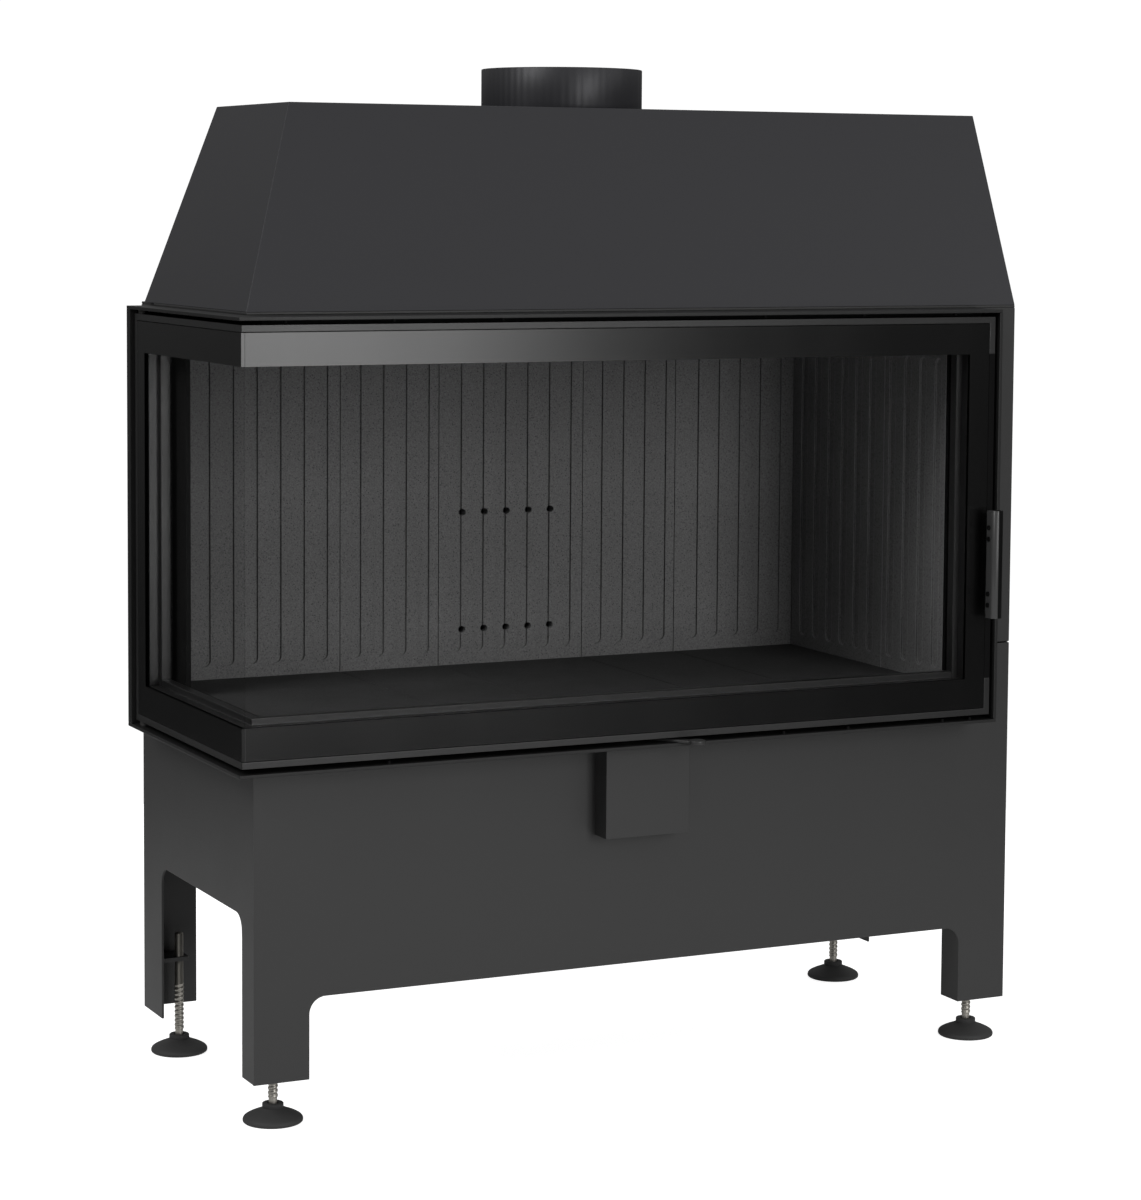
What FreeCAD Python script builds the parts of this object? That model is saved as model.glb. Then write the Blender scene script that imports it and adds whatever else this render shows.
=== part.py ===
"""Left-corner wood burning stove insert, built as an assembly of separate pieces.

Units are millimetres. In the sheet, x runs to the right from the left side of the base, y runs
back from the front of the base, and z runs up from the floor. The whole stove is then shifted so
that the origin lies under the middle of its bounding box, on the floor.
"""
import FreeCAD, Part
import os
import Sketcher

SIZES = {
    # body and base
    "body_width": 1015, "body_depth": 400, "leg_bottom": 53, "sheet": 3, "plate": 4,
    "leg_width": 68, "leg_return": 40, "front_arch": 96, "side_arch": 190, "side_leg_rear": 70,
    "arch_round": 20, "seam_top": 511, "seam_gap": 1.5, "butt_gap": 0.3, "air_slot_height": 70,
    # portal that frames the door
    "portal_left": -38, "portal_front": -60, "portal_right": 958, "portal_rear": 342,
    "portal_bottom": 420, "portal_top": 934, "portal_arm": 100, "portal_side_arm": 78,
    "portal_rear_bar": 13, "stop": 5, "stop_height": 3, "stop_inset": 6,
    # door
    "door_left": -34, "door_front": -56, "door_right": 950, "door_rear": 322,
    "door_bottom": 430, "door_top": 925, "door_depth": 30, "rim": 8, "rail_height": 46,
    "glass": 4, "gasket": 1, "rope": 7.7, "joint_line": 0.6, "pane_play": 0.5, "seal_band": 14,
    "seal_inset": 10, "stile_front": 36.5, "stile_back": 44.5, "lip_front": 17.5, "lip_height": 8,
    "notch_depth": 16,
    # hinge and latch
    "hinge_inset": 10, "hinge_rear_inset": 6, "pin": 6, "running_fit": 0.1, "pin_seat": 14,
    "pin_play": 0.3, "pin_reach": 15, "striker_y": -42, "striker_z": 600, "striker_thick": 0.9,
    "striker_depth": 6, "striker_height": 40,
    "handle_axis_y": -50, "handle_axis_inset": 4, "notch_bottom": 556, "notch_top": 684,
    "grip_bottom": 554, "grip_top": 687, "grip_left": 932, "grip_right": 948,
    "grip_front": -88, "grip_back": -72, "grip_round": 7, "handle_pin": 5, "pin_overlap": 6,
    "barrel": 9, "arm_thick": 4, "arm_play": 2, "hook_reach": 20, "hook_tip": 6, "hook_bottom": 42,
    "hook_height": 40, "screw_head": 6, "screw_proud": 1.5, "screw_y": -77, "screw_bottom": 570,
    "screw_step": 14, "screw_pair_step": 82,
    # firebox
    "base_top": 435, "sill_top": 478, "lintel_bottom": 880, "frame_front": -18, "frame_thick": 6,
    "frame_left": 4, "post_edge": 908, "rear_post_edge": 245, "base_thick": 5,
    "hearth_top": 466, "lining": 16, "lining_front": 370, "lining_left": 46,
    "lining_right": 908, "lining_top": 890, "lining_joint": 1, "right_joint": 135,
    "lining_joint_1": 251, "lining_joint_2": 386.6, "lining_joint_3": 591.6,
    "lining_joint_4": 727.8, "flute_pitch": 31.3, "right_pitch_front": 36, "right_pitch_rear": 35,
    "flute_width": 16, "flute_depth": 3, "flute_bottom": 482, "flute_top": 871,
    "air_hole": 8.6, "air_hole_low": 511, "air_hole_high": 663,
    "rear_wall": 393, "right_wall": 925, "baffle_front": 90, "baffle_thick": 25,
    "baffle_play": 1, "duct_left": 391, "duct_width": 196, "duct_height": 250, "duct_play": 0.5,
    # hood and flue
    "opening_left": 122, "opening_right": 885, "opening_front": 110, "opening_rear": 340,
    "hood_left": -8, "hood_rear": 365, "hood_top": 1176, "hood_top_left": 82,
    "hood_top_front": 104, "hood_top_rear": 354, "flue_outer": 200, "flue_inner": 194,
    "flue_x": 490, "flue_y": 228, "flue_height": 50,
    # air supply
    "air_box_left": 432, "air_box_right": 543, "air_box_bottom": 309, "air_box_depth": 30,
    "thin_sheet": 2, "spigot_outer": 125, "spigot_inner": 121, "spigot_height": 55,
    "spigot_y": 173, "spigot_flange": 12, "chamber_width": 220, "chamber_depth": 300,
    "chamber_lift": 15, "air_slot_inset": 10, "air_slot_lift": 20,
    "lever_x": 465, "lever_y": 10, "lever_reach": 106, "lever_turn": 38, "lever_pin": 8,
    "lever_width": 12.8, "lever_tip": 6, "lever_thick": 3, "lever_lift": 0.5, "shutter": 80,
    "air_port": 16, "air_port_across": 24, "air_port_front": 15, "knob": 20, "knob_height": 5,
    "knob_round": 1.5, "knob_below": 1,
    # feet
    "foot_x": 35, "foot_y": 32, "rod": 12, "rod_top": 150, "rod_bottom": 12, "pad": 70,
    "pad_rim": 3.5, "pad_edge": 1, "pad_shoulder": 61, "pad_shoulder_top": 8, "pad_slope": 48,
    "pad_slope_top": 11.5, "pad_collar": 25.5, "pad_neck": 15.8, "pad_height": 22,
    "bracket_bottom": 116, "bracket_thick": 5, "bracket_margin": 10,
}


class Size:
    """A length that knows both its value and its expression in the sheet."""

    def __init__(self, text, value):
        self.text = text
        self.value = float(value)

    def joined(self, sign, other, swap=False):
        """Returns this size combined with another one or with a plain number."""
        other = other if isinstance(other, Size) else Size(repr(float(other)), other)
        left, right = (other, self) if swap else (self, other)
        results = {
            "+": left.value + right.value,
            "-": left.value - right.value,
            "*": left.value * right.value,
            "/": left.value / right.value if right.value else 0.0,
        }
        return Size("(%s %s %s)" % (left.text, sign, right.text), results[sign])

    def __add__(self, other):
        return self.joined("+", other)

    def __radd__(self, other):
        return self.joined("+", other, swap=True)

    def __sub__(self, other):
        return self.joined("-", other)

    def __rsub__(self, other):
        return self.joined("-", other, swap=True)

    def __mul__(self, other):
        return self.joined("*", other)

    def __rmul__(self, other):
        return self.joined("*", other, swap=True)

    def __truediv__(self, other):
        return self.joined("/", other)

    def __neg__(self):
        return self.joined("*", -1.0)


def as_size(value):
    """Returns a plain number as a Size, and a Size as it is."""
    return value if isinstance(value, Size) else Size(repr(float(value)), value)


class Sheet:
    """The spreadsheet of driving dimensions; each alias reads as an attribute."""

    def __init__(self, doc, sizes):
        table = doc.addObject("Spreadsheet::Sheet", "sizes")
        for row, (alias, value) in enumerate(sizes.items(), start=1):
            table.set("A%d" % row, alias)
            table.set("B%d" % row, str(value))
            table.setAlias("B%d" % row, alias)
            setattr(self, alias, Size("sizes.%s" % alias, value))


doc = FreeCAD.newDocument("stove_insert")
s = Sheet(doc, SIZES)
doc.recompute()

ORIGIN_X = (s.portal_left + s.body_width) / 2
ORIGIN_Y = (s.grip_front + s.body_depth) / 2
DOOR_HINGE_X = s.door_left + s.hinge_inset
DOOR_HINGE_Y = s.door_rear - s.hinge_rear_inset
HANDLE_AXIS_X = s.door_right - s.handle_axis_inset
GLASS_BACK = s.glass + s.gasket
AIR_MIDDLE = (s.air_box_left + s.air_box_right) / 2
NODES = []


# ---------------------------------------------------------------- building blocks

def bind(obj, prop, size):
    """Binds one property of an object to a size."""
    obj.setExpression(prop, as_size(size).text)


def place(obj, x, y, z, turn=None):
    """Puts a finished sub-part at a point given in the sheet's own axes."""
    if turn is not None:
        obj.Placement.Rotation = FreeCAD.Rotation(FreeCAD.Vector(0, 0, 1), turn.value)
    bind(obj, "Placement.Base.x", x - ORIGIN_X)
    bind(obj, "Placement.Base.y", y - ORIGIN_Y)
    bind(obj, "Placement.Base.z", z)


def finish_part(obj, label):
    """Names a sub-part and puts it on the list of pieces to write."""
    obj.Label = label
    NODES.append(obj)
    return obj


def new_body(label):
    """Returns a new PartDesign body on the list of pieces."""
    return finish_part(doc.addObject("PartDesign::Body", "body_" + label), label)


def new_sketch(body, role, lift=None):
    """Returns an empty sketch on one of the body's own planes, lifted along its normal."""
    sketch = body.newObject("Sketcher::SketchObject", "sketch")
    plane = [f for f in body.Origin.OriginFeatures if f.Role == role][0]
    sketch.AttachmentSupport = [(plane, "")]
    sketch.MapMode = "FlatFace"
    if lift is not None:
        bind(sketch, "AttachmentOffset.Base.z", lift)
    return sketch


def outline(body, role, points, lift=None):
    """Returns a sketch of straight lines through points, each bound to its sizes."""
    sketch = new_sketch(body, role, lift)
    corners = [(as_size(x), as_size(y)) for x, y in points]
    spots = [FreeCAD.Vector(x.value, y.value, 0) for x, y in corners]
    count = len(spots)
    lines = [Part.LineSegment(spots[i], spots[(i + 1) % count]) for i in range(count)]
    sketch.addGeometry(lines, False)
    for i in range(count):
        sketch.addConstraint(Sketcher.Constraint("Coincident", i, 2, (i + 1) % count, 1))
    for i, (x, y) in enumerate(corners):
        for kind, size in (("DistanceX", x), ("DistanceY", y)):
            index = sketch.addConstraint(Sketcher.Constraint(kind, -1, 1, i, 1, size.value))
            bind(sketch, "Constraints[%d]" % index, size)
    return sketch


def circle(body, role, x, y, diameter, lift=None):
    """Returns a sketch of one circle, bound to its sizes."""
    sketch = new_sketch(body, role, lift)
    x, y, diameter = as_size(x), as_size(y), as_size(diameter)
    centre = FreeCAD.Vector(x.value, y.value, 0)
    sketch.addGeometry(Part.Circle(centre, FreeCAD.Vector(0, 0, 1), diameter.value / 2), False)
    bound = (("DistanceX", (-1, 1, 0, 3), x), ("DistanceY", (-1, 1, 0, 3), y), ("Diameter", (0,), diameter))
    for kind, where, size in bound:
        index = sketch.addConstraint(Sketcher.Constraint(kind, *where, size.value))
        bind(sketch, "Constraints[%d]" % index, size)
    return sketch


def pad(body, sketch, length, reverse=False):
    """Raises a sketch into a solid."""
    feature = body.newObject("PartDesign::Pad", "pad")
    feature.Profile = sketch
    feature.Reversed = reverse
    bind(feature, "Length", length)
    return feature


def pocket(body, sketch, depth=None, reverse=False):
    """Cuts a sketch out of the body, right through both ways where no depth is given."""
    doc.recompute()
    before = body.Shape.Volume
    feature = body.newObject("PartDesign::Pocket", "pocket")
    feature.Profile = sketch
    if depth is None:
        feature.Type = "ThroughAll"
        feature.SideType = "Symmetric"
    else:
        feature.Reversed = reverse
        bind(feature, "Length", depth)
    doc.recompute()
    if not body.Shape.Volume < before - 0.1:
        raise RuntimeError("a pocket in %s cuts nothing" % body.Label)
    return feature


def edges_at(body, spots):
    """Returns the names of the body's edges whose middle lies on one of the spots."""
    doc.recompute()
    shape = body.Tip.Shape
    names = []
    for index, edge in enumerate(shape.Edges, start=1):
        middle = edge.CenterOfMass
        if any((middle - spot).Length < 0.6 for spot in spots):
            names.append("Edge%d" % index)
    return names


def round_edges(body, spots, radius):
    """Rounds the body's edges whose middles are given."""
    names = edges_at(body, spots)
    if len(names) != len(spots):
        raise RuntimeError("%s: %d edges found of %d" % (body.Label, len(names), len(spots)))
    base = body.Tip
    feature = body.newObject("PartDesign::Fillet", "round")
    feature.Base = (base, names)
    bind(feature, "Radius", radius)
    return feature


def vector(x, y, z):
    """Returns a vector from sizes or numbers."""
    return FreeCAD.Vector(as_size(x).value, as_size(y).value, as_size(z).value)


def box_part(name, width, depth, height, at=(0, 0, 0)):
    """Returns a Part box with its sides and its own corner bound to sizes."""
    box = doc.addObject("Part::Box", name)
    for prop, size in (("Length", width), ("Width", depth), ("Height", height)):
        bind(box, prop, size)
    for axis, size in zip("xyz", at):
        bind(box, "Placement.Base." + axis, size)
    return box


def cylinder_part(name, diameter, height, at=(0, 0, 0), axis=None):
    """Returns a Part cylinder standing on a point, along Z or the axis given."""
    cylinder = doc.addObject("Part::Cylinder", name)
    bind(cylinder, "Radius", as_size(diameter) / 2)
    bind(cylinder, "Height", height)
    if axis is not None:
        cylinder.Placement.Rotation = FreeCAD.Rotation(FreeCAD.Vector(0, 0, 1), axis)
    for letter, size in zip("xyz", at):
        bind(cylinder, "Placement.Base." + letter, size)
    return cylinder


def cut_part(name, base, tools):
    """Returns the base with all the tools cut away."""
    tool = tools[0]
    if len(tools) > 1:
        tool = doc.addObject("Part::MultiFuse", name + "_tools")
        tool.Shapes = tools
    result = doc.addObject("Part::Cut", name)
    result.Base = base
    result.Tool = tool
    return result


def group_part(label, solids):
    """Returns a group of separate solids as one sub-part."""
    group = doc.addObject("Part::Compound", "group_" + label)
    group.Links = solids
    return finish_part(group, label)


def ell(length_x, length_y, front_arm, side_arm):
    """Returns the corners of an L seen from above, with its outer corner at the origin."""
    return [(0, 0), (length_x, 0), (length_x, front_arm), (side_arm, front_arm),
            (side_arm, length_y), (0, length_y)]


# ---------------------------------------------------------------- base

def arch_corners(first, last, height, thickness, along_x):
    """Returns the middles of the two top edges of a leg cut-out."""
    middle = thickness / 2
    if along_x:
        return [vector(first, middle, height), vector(last, middle, height)]
    return [vector(middle, first, height), vector(middle, last, height)]


def base_front():
    """Front panel of the base, cut out between two channel-shaped legs."""
    body = new_body("base_front")
    top = s.portal_bottom - s.leg_bottom
    tab_top = s.seam_top - s.seam_gap - s.leg_bottom
    right_leg = s.body_width - s.leg_width
    pad(body, outline(body, "XZ_Plane", [
        (0, 0), (s.leg_width, 0), (s.leg_width, s.front_arch), (right_leg, s.front_arch),
        (right_leg, 0), (s.body_width, 0), (s.body_width, tab_top), (s.portal_right, tab_top),
        (s.portal_right, top), (0, top)]), s.sheet, reverse=True)
    round_edges(body, arch_corners(s.leg_width, right_leg, s.front_arch, s.sheet, True), s.arch_round)
    for inner in (s.leg_width - s.sheet, right_leg):
        flange = [(inner, 0), (inner + s.sheet, 0), (inner + s.sheet, s.leg_return), (inner, s.leg_return)]
        pad(body, outline(body, "XY_Plane", flange), s.front_arch + s.leg_return)
    left = s.air_box_left + s.air_slot_inset
    right = s.air_box_right - s.air_slot_inset
    bottom = s.air_box_bottom + s.air_slot_lift - s.leg_bottom
    upper = bottom + s.air_slot_height
    pocket(body, outline(body, "XZ_Plane", [(left, bottom), (right, bottom), (right, upper), (left, upper)]))
    place(body, Size("0", 0), Size("0", 0), s.leg_bottom)


def base_side(label, x, top):
    """Side panel of the base with its tall leg cut-out."""
    body = new_body(label)
    length = s.body_depth - 2 * s.sheet
    first = s.leg_return - s.sheet
    last = s.body_depth - s.side_leg_rear - s.sheet
    pad(body, outline(body, "YZ_Plane", [
        (0, 0), (first, 0), (first, s.side_arch), (last, s.side_arch), (last, 0), (length, 0),
        (length, top - s.leg_bottom), (0, top - s.leg_bottom)]), s.sheet)
    round_edges(body, arch_corners(first, last, s.side_arch, s.sheet, False), s.arch_round)
    place(body, as_size(x), s.sheet, s.leg_bottom)


def base_rear():
    """Rear panel of the base, cut out as high as the sides."""
    body = new_body("base_rear")
    top = s.portal_bottom - s.leg_bottom
    right_leg = s.body_width - s.leg_width
    pad(body, outline(body, "XZ_Plane", [
        (0, 0), (s.leg_width, 0), (s.leg_width, s.side_arch), (right_leg, s.side_arch),
        (right_leg, 0), (s.body_width, 0), (s.body_width, top), (0, top)]), s.sheet, reverse=True)
    round_edges(body, arch_corners(s.leg_width, right_leg, s.side_arch, s.sheet, True), s.arch_round)
    place(body, Size("0", 0), s.body_depth - s.sheet, s.leg_bottom)


def foot_spots():
    """Returns the name, x and y of the four feet."""
    far_x = s.body_width - s.foot_x
    far_y = s.body_depth - s.foot_y
    return [("front_left", s.foot_x, s.foot_y), ("front_right", far_x, s.foot_y),
            ("rear_left", s.foot_x, far_y), ("rear_right", far_x, far_y)]


def foot_brackets():
    """Four small plates welded into the corners of the legs, each bored for a foot's rod."""
    width = s.foot_x + s.bracket_margin - s.sheet
    depth = s.foot_y + s.bracket_margin - s.sheet
    solids = []
    for name, x, y in foot_spots():
        left = s.sheet if "left" in name else s.body_width - s.sheet - width
        front = s.sheet if "front" in name else s.body_depth - s.sheet - depth
        across = box_part("bracket_plate", width, depth, s.bracket_thick, (left, front, s.bracket_bottom))
        hole = cylinder_part("bracket_hole", s.rod + s.running_fit, s.bracket_bottom, (x, y, s.leg_bottom))
        solids.append(cut_part("foot_bracket_" + name, across, [hole]))
    place(group_part("foot_brackets", solids), Size("0", 0), Size("0", 0), Size("0", 0))


def foot(name, x, y):
    """One levelling foot: a threaded rod in a wide pad."""
    rod = finish_part(cylinder_part("rod", s.rod, s.rod_top - s.rod_bottom), "foot_rod_" + name)
    place(rod, x, y, s.rod_bottom)
    body = new_body("foot_pad_" + name)
    radius = s.pad / 2
    collar = s.pad_collar / 2
    hole = s.rod / 2
    profile = outline(body, "XZ_Plane", [
        (0, 0), (radius - s.pad_edge, 0), (radius, s.pad_edge), (radius, s.pad_rim),
        (s.pad_shoulder / 2, s.pad_shoulder_top), (s.pad_slope / 2, s.pad_slope_top),
        (collar, s.pad_neck), (collar, s.pad_height), (hole, s.pad_height),
        (hole, s.rod_bottom), (0, s.rod_bottom)])
    turned = body.newObject("PartDesign::Revolution", "turned")
    turned.Profile = profile
    turned.ReferenceAxis = (profile, ["V_Axis"])
    turned.Angle = 360
    place(body, x, y, Size("0", 0))


# ---------------------------------------------------------------- casing

def portal_ring(label, z, vented):
    """Top or bottom sheet of the portal: an L that runs round the glazed corner."""
    body = new_body(label)
    length_x = s.portal_right - s.portal_left
    length_y = s.portal_rear - s.portal_front
    pad(body, outline(body, "XY_Plane", ell(length_x, length_y, s.portal_arm, s.portal_side_arm)), s.plate)
    if vented:
        x = s.lever_x - s.portal_left
        y = s.lever_y - s.portal_front
        pocket(body, circle(body, "XY_Plane", x, y, s.lever_pin))
        for side in (-1, 1):
            spot = (x + side * s.air_port_across, y - s.air_port_front)
            pocket(body, circle(body, "XY_Plane", *spot, s.air_port))
    place(body, s.portal_left, s.portal_front, z)


def portal_uprights():
    """Right side of the portal, and the bar that closes it behind the hinge."""
    height = s.portal_top - s.portal_bottom - 2 * s.plate
    right = finish_part(box_part("portal_right_box", s.plate, -s.portal_front, height), "portal_right")
    place(right, s.portal_right - s.plate, s.portal_front, s.portal_bottom + s.plate)
    width = s.frame_left - s.portal_left
    rear = finish_part(box_part("portal_rear_box", width, s.portal_rear_bar, height), "portal_rear")
    place(rear, s.portal_left, s.portal_rear - s.portal_rear_bar, s.portal_bottom + s.plate)


def portal_spacers():
    """Round stops in the gaps above and below the door."""
    across = s.door_front + s.stop_inset
    high = s.portal_top - s.plate - s.stop_height
    low = s.portal_bottom + s.plate
    spots = [(x, across, high) for x in (20, 150, 285, 628, 765, 895)]
    spots += [(x, across, low) for x in (145, 660, 750, 885, 925)]
    spots.append((s.door_left + s.stop_inset, 150, high))
    solids = [cylinder_part("stop", s.stop, s.stop_height, spot) for spot in spots]
    place(group_part("portal_spacers", solids), Size("0", 0), Size("0", 0), Size("0", 0))


def casing_rear():
    """Upper rear sheet, folded forward at the left to meet the portal."""
    body = new_body("casing_rear")
    back = s.body_depth - s.portal_rear
    pad(body, outline(body, "XY_Plane", [
        (0, 0), (s.sheet, 0), (s.sheet, back - s.sheet), (s.body_width, back - s.sheet),
        (s.body_width, back), (0, back)]), s.portal_top - s.portal_bottom)
    place(body, Size("0", 0), s.portal_rear, s.portal_bottom)


def casing_right():
    """Upper right side sheet."""
    box = box_part("casing_right_box", s.sheet, s.body_depth - 2 * s.sheet, s.portal_top - s.seam_top)
    place(finish_part(box, "casing_right"), s.body_width - s.sheet, s.sheet, s.seam_top)


def casing_front_right():
    """Upper front sheet to the right of the portal."""
    width = s.body_width - s.portal_right
    box = box_part("casing_front_box", width, s.sheet, s.portal_top - s.seam_top)
    place(finish_part(box, "casing_front_right"), s.portal_right, Size("0", 0), s.seam_top)


def top_plate():
    """Plate under the hood, open over the firebox."""
    body = new_body("top_plate")
    edge = s.portal_rear - s.portal_rear_bar
    pad(body, outline(body, "XY_Plane", [
        (s.hood_left, 0), (s.body_width, 0), (s.body_width, s.body_depth), (0, s.body_depth),
        (0, edge), (s.hood_left, edge)]), s.sheet)
    pocket(body, outline(body, "XY_Plane", [
        (s.opening_left, s.opening_front), (s.opening_right, s.opening_front),
        (s.opening_right, s.opening_rear), (s.opening_left, s.opening_rear)]))
    place(body, Size("0", 0), Size("0", 0), s.portal_top)


def hood():
    """Welded smoke hood: sloped at the front and the left, upright at the right."""
    body = new_body("hood")
    foot_z = s.portal_top + s.sheet
    rise = s.hood_top - foot_z
    width = s.body_width - s.hood_left
    inset = s.hood_top_left - s.hood_left
    wall = s.sheet

    def ring(shrink, lift, upper):
        """Returns the rectangle of the hood at its foot or its top, shrunk by the wall."""
        left = inset + shrink if upper else as_size(shrink)
        front = s.hood_top_front + shrink if upper else as_size(shrink)
        rear = s.hood_top_rear - shrink if upper else s.hood_rear - shrink
        right = width - shrink
        return outline(body, "XY_Plane", [(left, front), (right, front), (right, rear), (left, rear)], lift)

    outer = body.newObject("PartDesign::AdditiveLoft", "outside")
    low, high = ring(0, Size("0", 0), False), ring(0, rise, True)
    outer.Profile = low
    outer.Sections = [high]
    outer.Ruled = True
    inner_low = ring(wall, Size("0", 0), False)
    inner_high = ring(wall, rise - wall, True)
    inner = body.newObject("PartDesign::SubtractiveLoft", "inside")
    inner.Profile = inner_low
    inner.Sections = [inner_high]
    inner.Ruled = True
    pocket(body, circle(body, "XY_Plane", s.flue_x - s.hood_left, s.flue_y, s.flue_inner))
    place(body, s.hood_left, Size("0", 0), foot_z)


def flue_collar():
    """Flue outlet collar on the hood."""
    outer = cylinder_part("collar_outer", s.flue_outer, s.flue_height)
    inner = cylinder_part("collar_inner", s.flue_inner, s.flue_height)
    collar = finish_part(cut_part("collar", outer, [inner]), "flue_collar")
    place(collar, s.flue_x, s.flue_y, s.hood_top)


# ---------------------------------------------------------------- air supply

def air_box_cover():
    """Folded cover over the air intake under the portal, open at its top and back."""
    width = s.air_box_right - s.air_box_left
    height = s.portal_bottom - s.air_box_bottom
    outer = box_part("air_cover_outer", width, s.air_box_depth, height)
    inner = box_part("air_cover_inner", width - 2 * s.thin_sheet, s.air_box_depth, height,
                     (s.thin_sheet, s.thin_sheet, s.thin_sheet))
    cover = finish_part(cut_part("air_cover", outer, [inner]), "air_box_cover")
    place(cover, s.air_box_left, -s.air_box_depth, s.air_box_bottom)


def air_chamber():
    """Air chamber under the firebox, open to the front box and to the spigot below."""
    wall = s.thin_sheet
    width, depth = s.chamber_width, s.chamber_depth
    height = s.portal_bottom - s.air_box_bottom - s.chamber_lift
    outer = box_part("chamber_outer", width, depth, height)
    inner = box_part("chamber_inner", width - 2 * wall, depth - wall, height - 2 * wall, (wall, 0, wall))
    hole = cylinder_part("chamber_hole", s.spigot_inner, wall * 2, (width / 2, s.spigot_y - s.sheet, -wall / 2))
    chamber = finish_part(cut_part("chamber", outer, [inner, hole]), "air_chamber")
    place(chamber, AIR_MIDDLE - width / 2, s.sheet, s.air_box_bottom + s.chamber_lift)


def air_inlet_spigot():
    """Spigot for an outside air pipe, with its flange under the air chamber."""
    body = new_body("air_inlet_spigot")
    inner, outer = s.spigot_inner / 2, s.spigot_outer / 2
    profile = outline(body, "XZ_Plane", [
        (inner, -s.spigot_height), (outer, -s.spigot_height), (outer, -s.thin_sheet),
        (outer + s.spigot_flange, -s.thin_sheet), (outer + s.spigot_flange, 0), (inner, 0)])
    turned = body.newObject("PartDesign::Revolution", "turned")
    turned.Profile = profile
    turned.ReferenceAxis = (profile, ["V_Axis"])
    turned.Angle = 360
    place(body, AIR_MIDDLE, s.spigot_y, s.air_box_bottom + s.chamber_lift)


def air_lever():
    """Flat lever with a round shutter plate round its pivot."""
    body = new_body("air_lever")
    pad(body, circle(body, "XY_Plane", 0, 0, s.shutter), s.lever_thick)
    half = s.lever_width / 2
    tip = s.lever_tip - s.lever_reach
    pad(body, outline(body, "XY_Plane", [(-half, tip), (half, tip), (half, 0), (-half, 0)]), s.lever_thick)
    pocket(body, circle(body, "XY_Plane", 0, 0, s.lever_pin + s.running_fit))
    for side in (-1, 1):
        pocket(body, circle(body, "XY_Plane", side * s.air_port_across, -s.air_port_front, s.air_port))
    place(body, s.lever_x, s.lever_y, s.portal_bottom + s.plate + s.lever_lift, turn=s.lever_turn)


def lever_knob():
    """Round knob pushed over the end of the air lever."""
    disc = cylinder_part("knob_disc", s.knob, s.knob_height, (0, -s.lever_reach, 0))
    soft = doc.addObject("Part::Fillet", "knob_soft")
    soft.Base = disc
    doc.recompute()
    rims = [i for i, edge in enumerate(disc.Shape.Edges, start=1) if edge.Curve.TypeId == "Part::GeomCircle"]
    soft.Edges = [(i, s.knob_round.value, s.knob_round.value) for i in rims]
    corner = (-s.lever_width / 2, s.lever_tip - s.lever_reach, s.knob_below)
    slot = box_part("knob_slot", s.lever_width, s.knob, s.lever_thick, corner)
    knob = finish_part(cut_part("knob", soft, [slot]), "lever_knob")
    z = s.portal_bottom + s.plate + s.lever_lift - s.knob_below
    place(knob, s.lever_x, s.lever_y, z, turn=s.lever_turn)


# ---------------------------------------------------------------- firebox

def firebox_base():
    """Steel floor of the firebox."""
    body = new_body("firebox_base")
    step = s.sheet - s.frame_front
    inner_right = s.portal_right - s.plate - s.frame_left
    right = s.body_width - s.sheet - s.frame_left
    rear = s.body_depth - s.sheet - s.frame_front
    pad(body, outline(body, "XY_Plane", [
        (0, 0), (inner_right, 0), (inner_right, step), (right, step), (right, rear), (0, rear)]),
        s.base_thick)
    place(body, s.frame_left, s.frame_front, s.base_top - s.base_thick)


def face_ring(label, z, height):
    """Sill or lintel of the steel frame that the door closes against."""
    body = new_body(label)
    length_x = s.portal_right - s.plate - s.frame_left
    length_y = s.portal_rear - s.portal_rear_bar - s.frame_front
    pad(body, outline(body, "XY_Plane", ell(length_x, length_y, s.frame_thick, s.frame_thick)), height)
    place(body, s.frame_left, s.frame_front, z)


def face_posts():
    """Posts of the frame that the door closes against, at the right and at the rear left."""
    height = s.lintel_bottom - s.sill_top
    width = s.portal_right - s.plate - s.post_edge
    right = finish_part(box_part("face_right_box", width, s.frame_thick, height), "face_post_right")
    place(right, s.post_edge, s.frame_front, s.sill_top)
    depth = s.portal_rear - s.portal_rear_bar - s.rear_post_edge
    rear = finish_part(box_part("face_rear_box", s.frame_thick, depth, height), "face_post_rear")
    place(rear, s.frame_left, s.rear_post_edge, s.sill_top)


def firebox_walls():
    """Steel rear and right walls of the firebox."""
    height = s.portal_top - s.base_top
    rear = finish_part(box_part("rear_wall_box", s.right_wall - s.frame_left, s.plate, height), "firebox_rear_wall")
    place(rear, s.frame_left, s.rear_wall, s.base_top)
    depth = s.rear_wall + s.plate - s.frame_front - s.frame_thick
    box = box_part("right_wall_box", s.plate, depth, height - s.plate)
    right = finish_part(box, "firebox_right_wall")
    place(right, s.right_wall, s.frame_front + s.frame_thick, s.base_top)


def flute_tools(centres, along_x, bottom, top):
    """Returns the cutters of a panel's flutes: upright slots with steep walls and round ends."""
    width, depth = s.flute_width, s.flute_depth
    half = width / 2
    tools = []
    for centre in centres:
        sides = (width, depth) if along_x else (depth, width)
        corner = (centre - half, 0) if along_x else (0, centre - half)
        tools.append(box_part("flute", *sides, top - bottom - width, (*corner, bottom + half)))
        across = FreeCAD.Vector(0, 1, 0) if along_x else FreeCAD.Vector(1, 0, 0)
        spot = (centre, 0) if along_x else (0, centre)
        for end in (bottom + half, top - half):
            tools.append(cylinder_part("flute_end", width, depth, (*spot, end), across))
    return tools


def lining_joints(left):
    """Returns the upright joints of the back lining and of the floor plates in front of it."""
    return [left, s.lining_joint_1, s.lining_joint_2, s.lining_joint_3, s.lining_joint_4, s.lining_right]


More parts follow.
